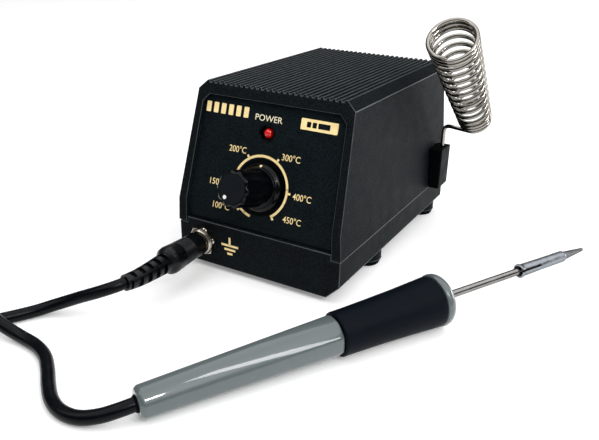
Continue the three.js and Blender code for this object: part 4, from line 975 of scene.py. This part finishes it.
def sleeve_faces(stations):
    """A thin sleeve along y with slots through its wall: (y, inner radius, outer radius) rows."""
    verts, faces = [], []
    for y, inner, outer in stations:
        for radius in (inner, outer):
            for i in range(SLEEVE_SIDES):
                angle = 2 * math.pi * i / SLEEVE_SIDES
                verts.append((radius * math.cos(angle), y, radius * math.sin(angle)))
    rows = len(stations)

    def at(row, wall, side):
        return (row * 2 + wall) * SLEEVE_SIDES + side % SLEEVE_SIDES

    def opened(row, side):
        if not 0 <= row < rows - 1:
            return True
        middle = (stations[row][0] + stations[row + 1][0]) / 2
        beside = any((side - m + TIP_SLOT_HALF) % SLEEVE_SIDES < 2 * TIP_SLOT_HALF
                     for m in TIP_SLOT_MIDDLES)
        return beside and TIP_SLOT_LOW < middle < TIP_SLOT_HIGH

    for row in range(rows - 1):
        for side in range(SLEEVE_SIDES):
            if opened(row, side):
                continue
            faces.append((at(row, 1, side), at(row, 1, side + 1), at(row + 1, 1, side + 1),
                          at(row + 1, 1, side)))
            faces.append((at(row, 0, side + 1), at(row, 0, side), at(row + 1, 0, side),
                          at(row + 1, 0, side + 1)))
            for other, low, high in ((side - 1, side, side), (side + 1, side + 1, side + 1)):
                if opened(row, other % SLEEVE_SIDES):
                    faces.append((at(row, 0, low), at(row, 1, low), at(row + 1, 1, high),
                                  at(row + 1, 0, high)))
            for other, edge in ((row - 1, row), (row + 1, row + 1)):
                if opened(other, side):
                    faces.append((at(edge, 0, side), at(edge, 1, side), at(edge, 1, side + 1),
                                  at(edge, 0, side + 1)))
    return verts, faces


def make_tip():
    """The push-on tip: slotted sleeve, solid nose and a separate tinned point."""
    flare = [(TIP_START, 2.75, 3.25), (TIP_START + 0.25, 2.6, 3.45), (TIP_START + 0.9, 2.55, 3.42),
             (TIP_START + 1.2, 2.5, 3.35), (TIP_START + 1.8, 2.4, 3.12),
             (TIP_START + 2.6, SLEEVE_BORE_RADIUS, 3.02)]
    straight = [(TIP_START + 3.4 + SLEEVE_ROW_PITCH * i, SLEEVE_BORE_RADIUS, 3.0 - 0.012 * i)
                for i in range(SLEEVE_ROWS)]
    verts, faces = sleeve_faces(flare + straight)
    used = sorted({i for face in faces for i in face})
    renumber = {old: new for new, old in enumerate(used)}
    sleeve = [verts[i] for i in used], [tuple(renumber[i] for i in face) for face in faces]
    seat = straight[-1][0]
    nose = fillet([
        (1.6, seat - 0.4), (2.3, seat - 0.4), (2.9, seat), (TIP_RADIUS, seat + 0.4),
        (TIP_RADIUS, TIP_SHOULDER - 1.0), (TIP_RADIUS - 0.5, TIP_SHOULDER), (1.9, TIP_SHOULDER + 0.3),
        (0, TIP_SHOULDER + 0.3),
    ], 0.4, steps=4)
    hollow = [(0, seat + 1.5), (1.6, seat + 1.5)]
    verts, faces = merged(sleeve, lathe(hollow + nose, SLEEVE_SIDES))
    piece("tip_sleeve", verts, faces, IRON, "tip", "steel", TIP_PLATE, ("iron_tip",), sharp=30)
    point = fillet([
        (0, TIP_SHOULDER), (2.15, TIP_SHOULDER), (2.1, TIP_SHOULDER + 1.0), (1.6, TIP_SHOULDER + 6.4),
        (1.05, TIP_END - 2.6), (0.95, TIP_END - 1.0), (0.55, TIP_END - 0.15), (0, TIP_END),
    ], 0.4, steps=4)
    piece("tip_point", *lathe(point, 64), IRON, "tip", "steel", TINNED, sharp=30)


def make_barrel():
    """The steel tube from inside the grip to the tip."""
    outline = [
        (TUBE_BORE_RADIUS, GRIP_END - 30), (4.3, GRIP_END - 30), (4.3, GRIP_END - 28),
        (TUBE_RADIUS, GRIP_END - 27), (TUBE_RADIUS, COLLAR_END + 1), (TUBE_RADIUS, TUBE_END),
        (TUBE_BORE_RADIUS, TUBE_END),
    ]
    piece("barrel", *lathe(outline, 48, closed=True), IRON, "iron", "steel", TUBE_STEEL,
          ("heater_tube",), sharp=40)


make_handle()
make_bush()
make_grip()
make_collar()
make_barrel()
make_tip()

# ----------------------------
# Wire holder
# ----------------------------
CLOSE_TURNS = 2.5  # tight turns at each end of the spring
CLOSE_PITCH = 2 * WIRE_RADIUS + 0.45
TURN_POINTS = 28
WIRE_STEP = 1.1
WIRE_END_SHARE = 0.0007  # share of the wire that is chamfered at each end
WIRE_END_SCALE = 0.72


def holder_path():
    """Centres of the wire: up the leg, across the arm, then round the cone to its mouth."""
    axis = (HOLDER_MOUTH - HOLDER_LOW).normalized()
    across = Vector((-1, 0, 0))
    across = (across - axis * across.dot(axis)).normalized()
    under = axis.cross(across)
    length = (HOLDER_MOUTH - HOLDER_LOW).length
    open_turns = HOLDER_TURNS - 2 * CLOSE_TURNS
    open_pitch = (length - 2 * CLOSE_TURNS * CLOSE_PITCH) / open_turns
    points = []
    for i in range(HOLDER_TURNS * TURN_POINTS + 1):
        turn = i / TURN_POINTS
        opened = min(max(turn - CLOSE_TURNS, 0), open_turns)
        along = opened * open_pitch + (turn - opened) * CLOSE_PITCH
        radius = HOLDER_LOW_RADIUS + (HOLDER_MOUTH_RADIUS - HOLDER_LOW_RADIUS) * along / length
        angle = 2 * math.pi * turn
        points.append(HOLDER_LOW + axis * along + under * radius * math.cos(angle)
                      - across * radius * math.sin(angle))
    start = points[0]
    arm_z = start.z + 0.4
    leg = [(LEG_X, LEG_Y, LEG_BOTTOM_Z), (LEG_X, LEG_Y, 38), (LEG_X, LEG_Y, 48), (LEG_X, LEG_Y, 57),
           (LEG_X, LEG_Y, arm_z - 3.4), (LEG_X + 0.9, LEG_Y - 0.2, arm_z - 0.9),
           (LEG_X + 3.4, LEG_Y - 0.6, arm_z), (LEG_X + 8, (LEG_Y + start.y) / 2, arm_z - 0.1)]
    return [Vector(p) for p in leg] + points


def wire_radius(share):
    """Radius of the wire, less at its chamfered ends."""
    at_end = share < WIRE_END_SHARE or share > 1 - WIRE_END_SHARE
    return WIRE_RADIUS * (WIRE_END_SCALE if at_end else 1)


def make_holder():
    """The sprung-wire holder with its leg."""
    verts, faces = tube(smooth_path(holder_path(), WIRE_STEP), wire_radius, 16)
    piece("holder_spring", verts, faces, CASE, "holder", "steel", STEEL, ("holder_wire",), sharp=50)


make_holder()

# ----------------------------
# Floor and light, in metres in the row frame
# ----------------------------
FLOOR_HALF = 4.0
FLOOR_Z = -0.00005
FLOOR_GLOW = 0.22  # keeps the far floor as pale as the near floor
WORLD_STRENGTH = 0.14
SOFTBOXES = [  # name, place, aim, size, watts, turn about the line of sight
    ("overhead", (0.5, 0.15, 2.0), (0.5, 0.15, 0), (4.4, 4.4), 108, 0.0),
    ("side", (1.0, 1.15, 0.2), (0, 0, 0.05), (0.9, 0.35), 10, 0.0),
    ("strip", (0.7, -0.18, 0.6), (0.01, -0.1, 0.01), (0.7, 0.09), 2.6, -1.33),
    ("key", (0.7, -0.5, 0.8), (0, 0, 0.06), (0.08, 0.1), 1.8, 0.0),
    ("fill", (-0.9, -0.7, 0.9), (0, 0, 0.05), (0.3, 0.5), 1.0, 0.0),
]


def make_floor():
    """A plain pale floor."""
    mesh = bpy.data.meshes.new("floor")
    corners = [(-FLOOR_HALF, -FLOOR_HALF), (FLOOR_HALF, -FLOOR_HALF), (FLOOR_HALF, FLOOR_HALF),
               (-FLOOR_HALF, FLOOR_HALF)]
    mesh.from_pydata([(x, y, FLOOR_Z) for x, y in corners], [], [(0, 1, 2, 3)])
    floor = bpy.data.objects.new("floor", mesh)
    bpy.context.scene.collection.objects.link(floor)
    material = surface("floor_white", (0.86, 0.86, 0.86), 0.6, shade=0.01, grain_bump=0.0)
    glow = material.node_tree.nodes["Principled BSDF"].inputs
    glow["Emission Color"].default_value = (1, 1, 1, 1)
    glow["Emission Strength"].default_value = FLOOR_GLOW
    mesh.materials.append(material)


def softbox(name, place, aim, size, power, lean):
    """A rectangular light; its longer side lies level unless it is turned by a lean."""
    light = bpy.data.lights.new(name, "AREA")
    light.shape = "RECTANGLE"
    light.size, light.size_y = size
    light.energy = power
    lamp = bpy.data.objects.new(name, light)
    bpy.context.scene.collection.objects.link(lamp)
    lamp.location = place
    lamp.rotation_mode = "QUATERNION"
    facing = (Vector(aim) - Vector(place)).to_track_quat("-Z", "Y")
    lamp.rotation_quaternion = facing @ Quaternion((0, 0, 1), lean)


def make_light():
    """An even white surround and the softboxes."""
    world = bpy.data.worlds.new("studio")
    bpy.context.scene.world = world
    world.use_nodes = True
    background = world.node_tree.nodes["Background"]
    background.inputs["Color"].default_value = (1, 1, 1, 1)
    background.inputs["Strength"].default_value = WORLD_STRENGTH
    for box in SOFTBOXES:
        softbox(*box)
    bpy.context.scene.view_settings.view_transform = "Standard"


make_floor()
make_light()
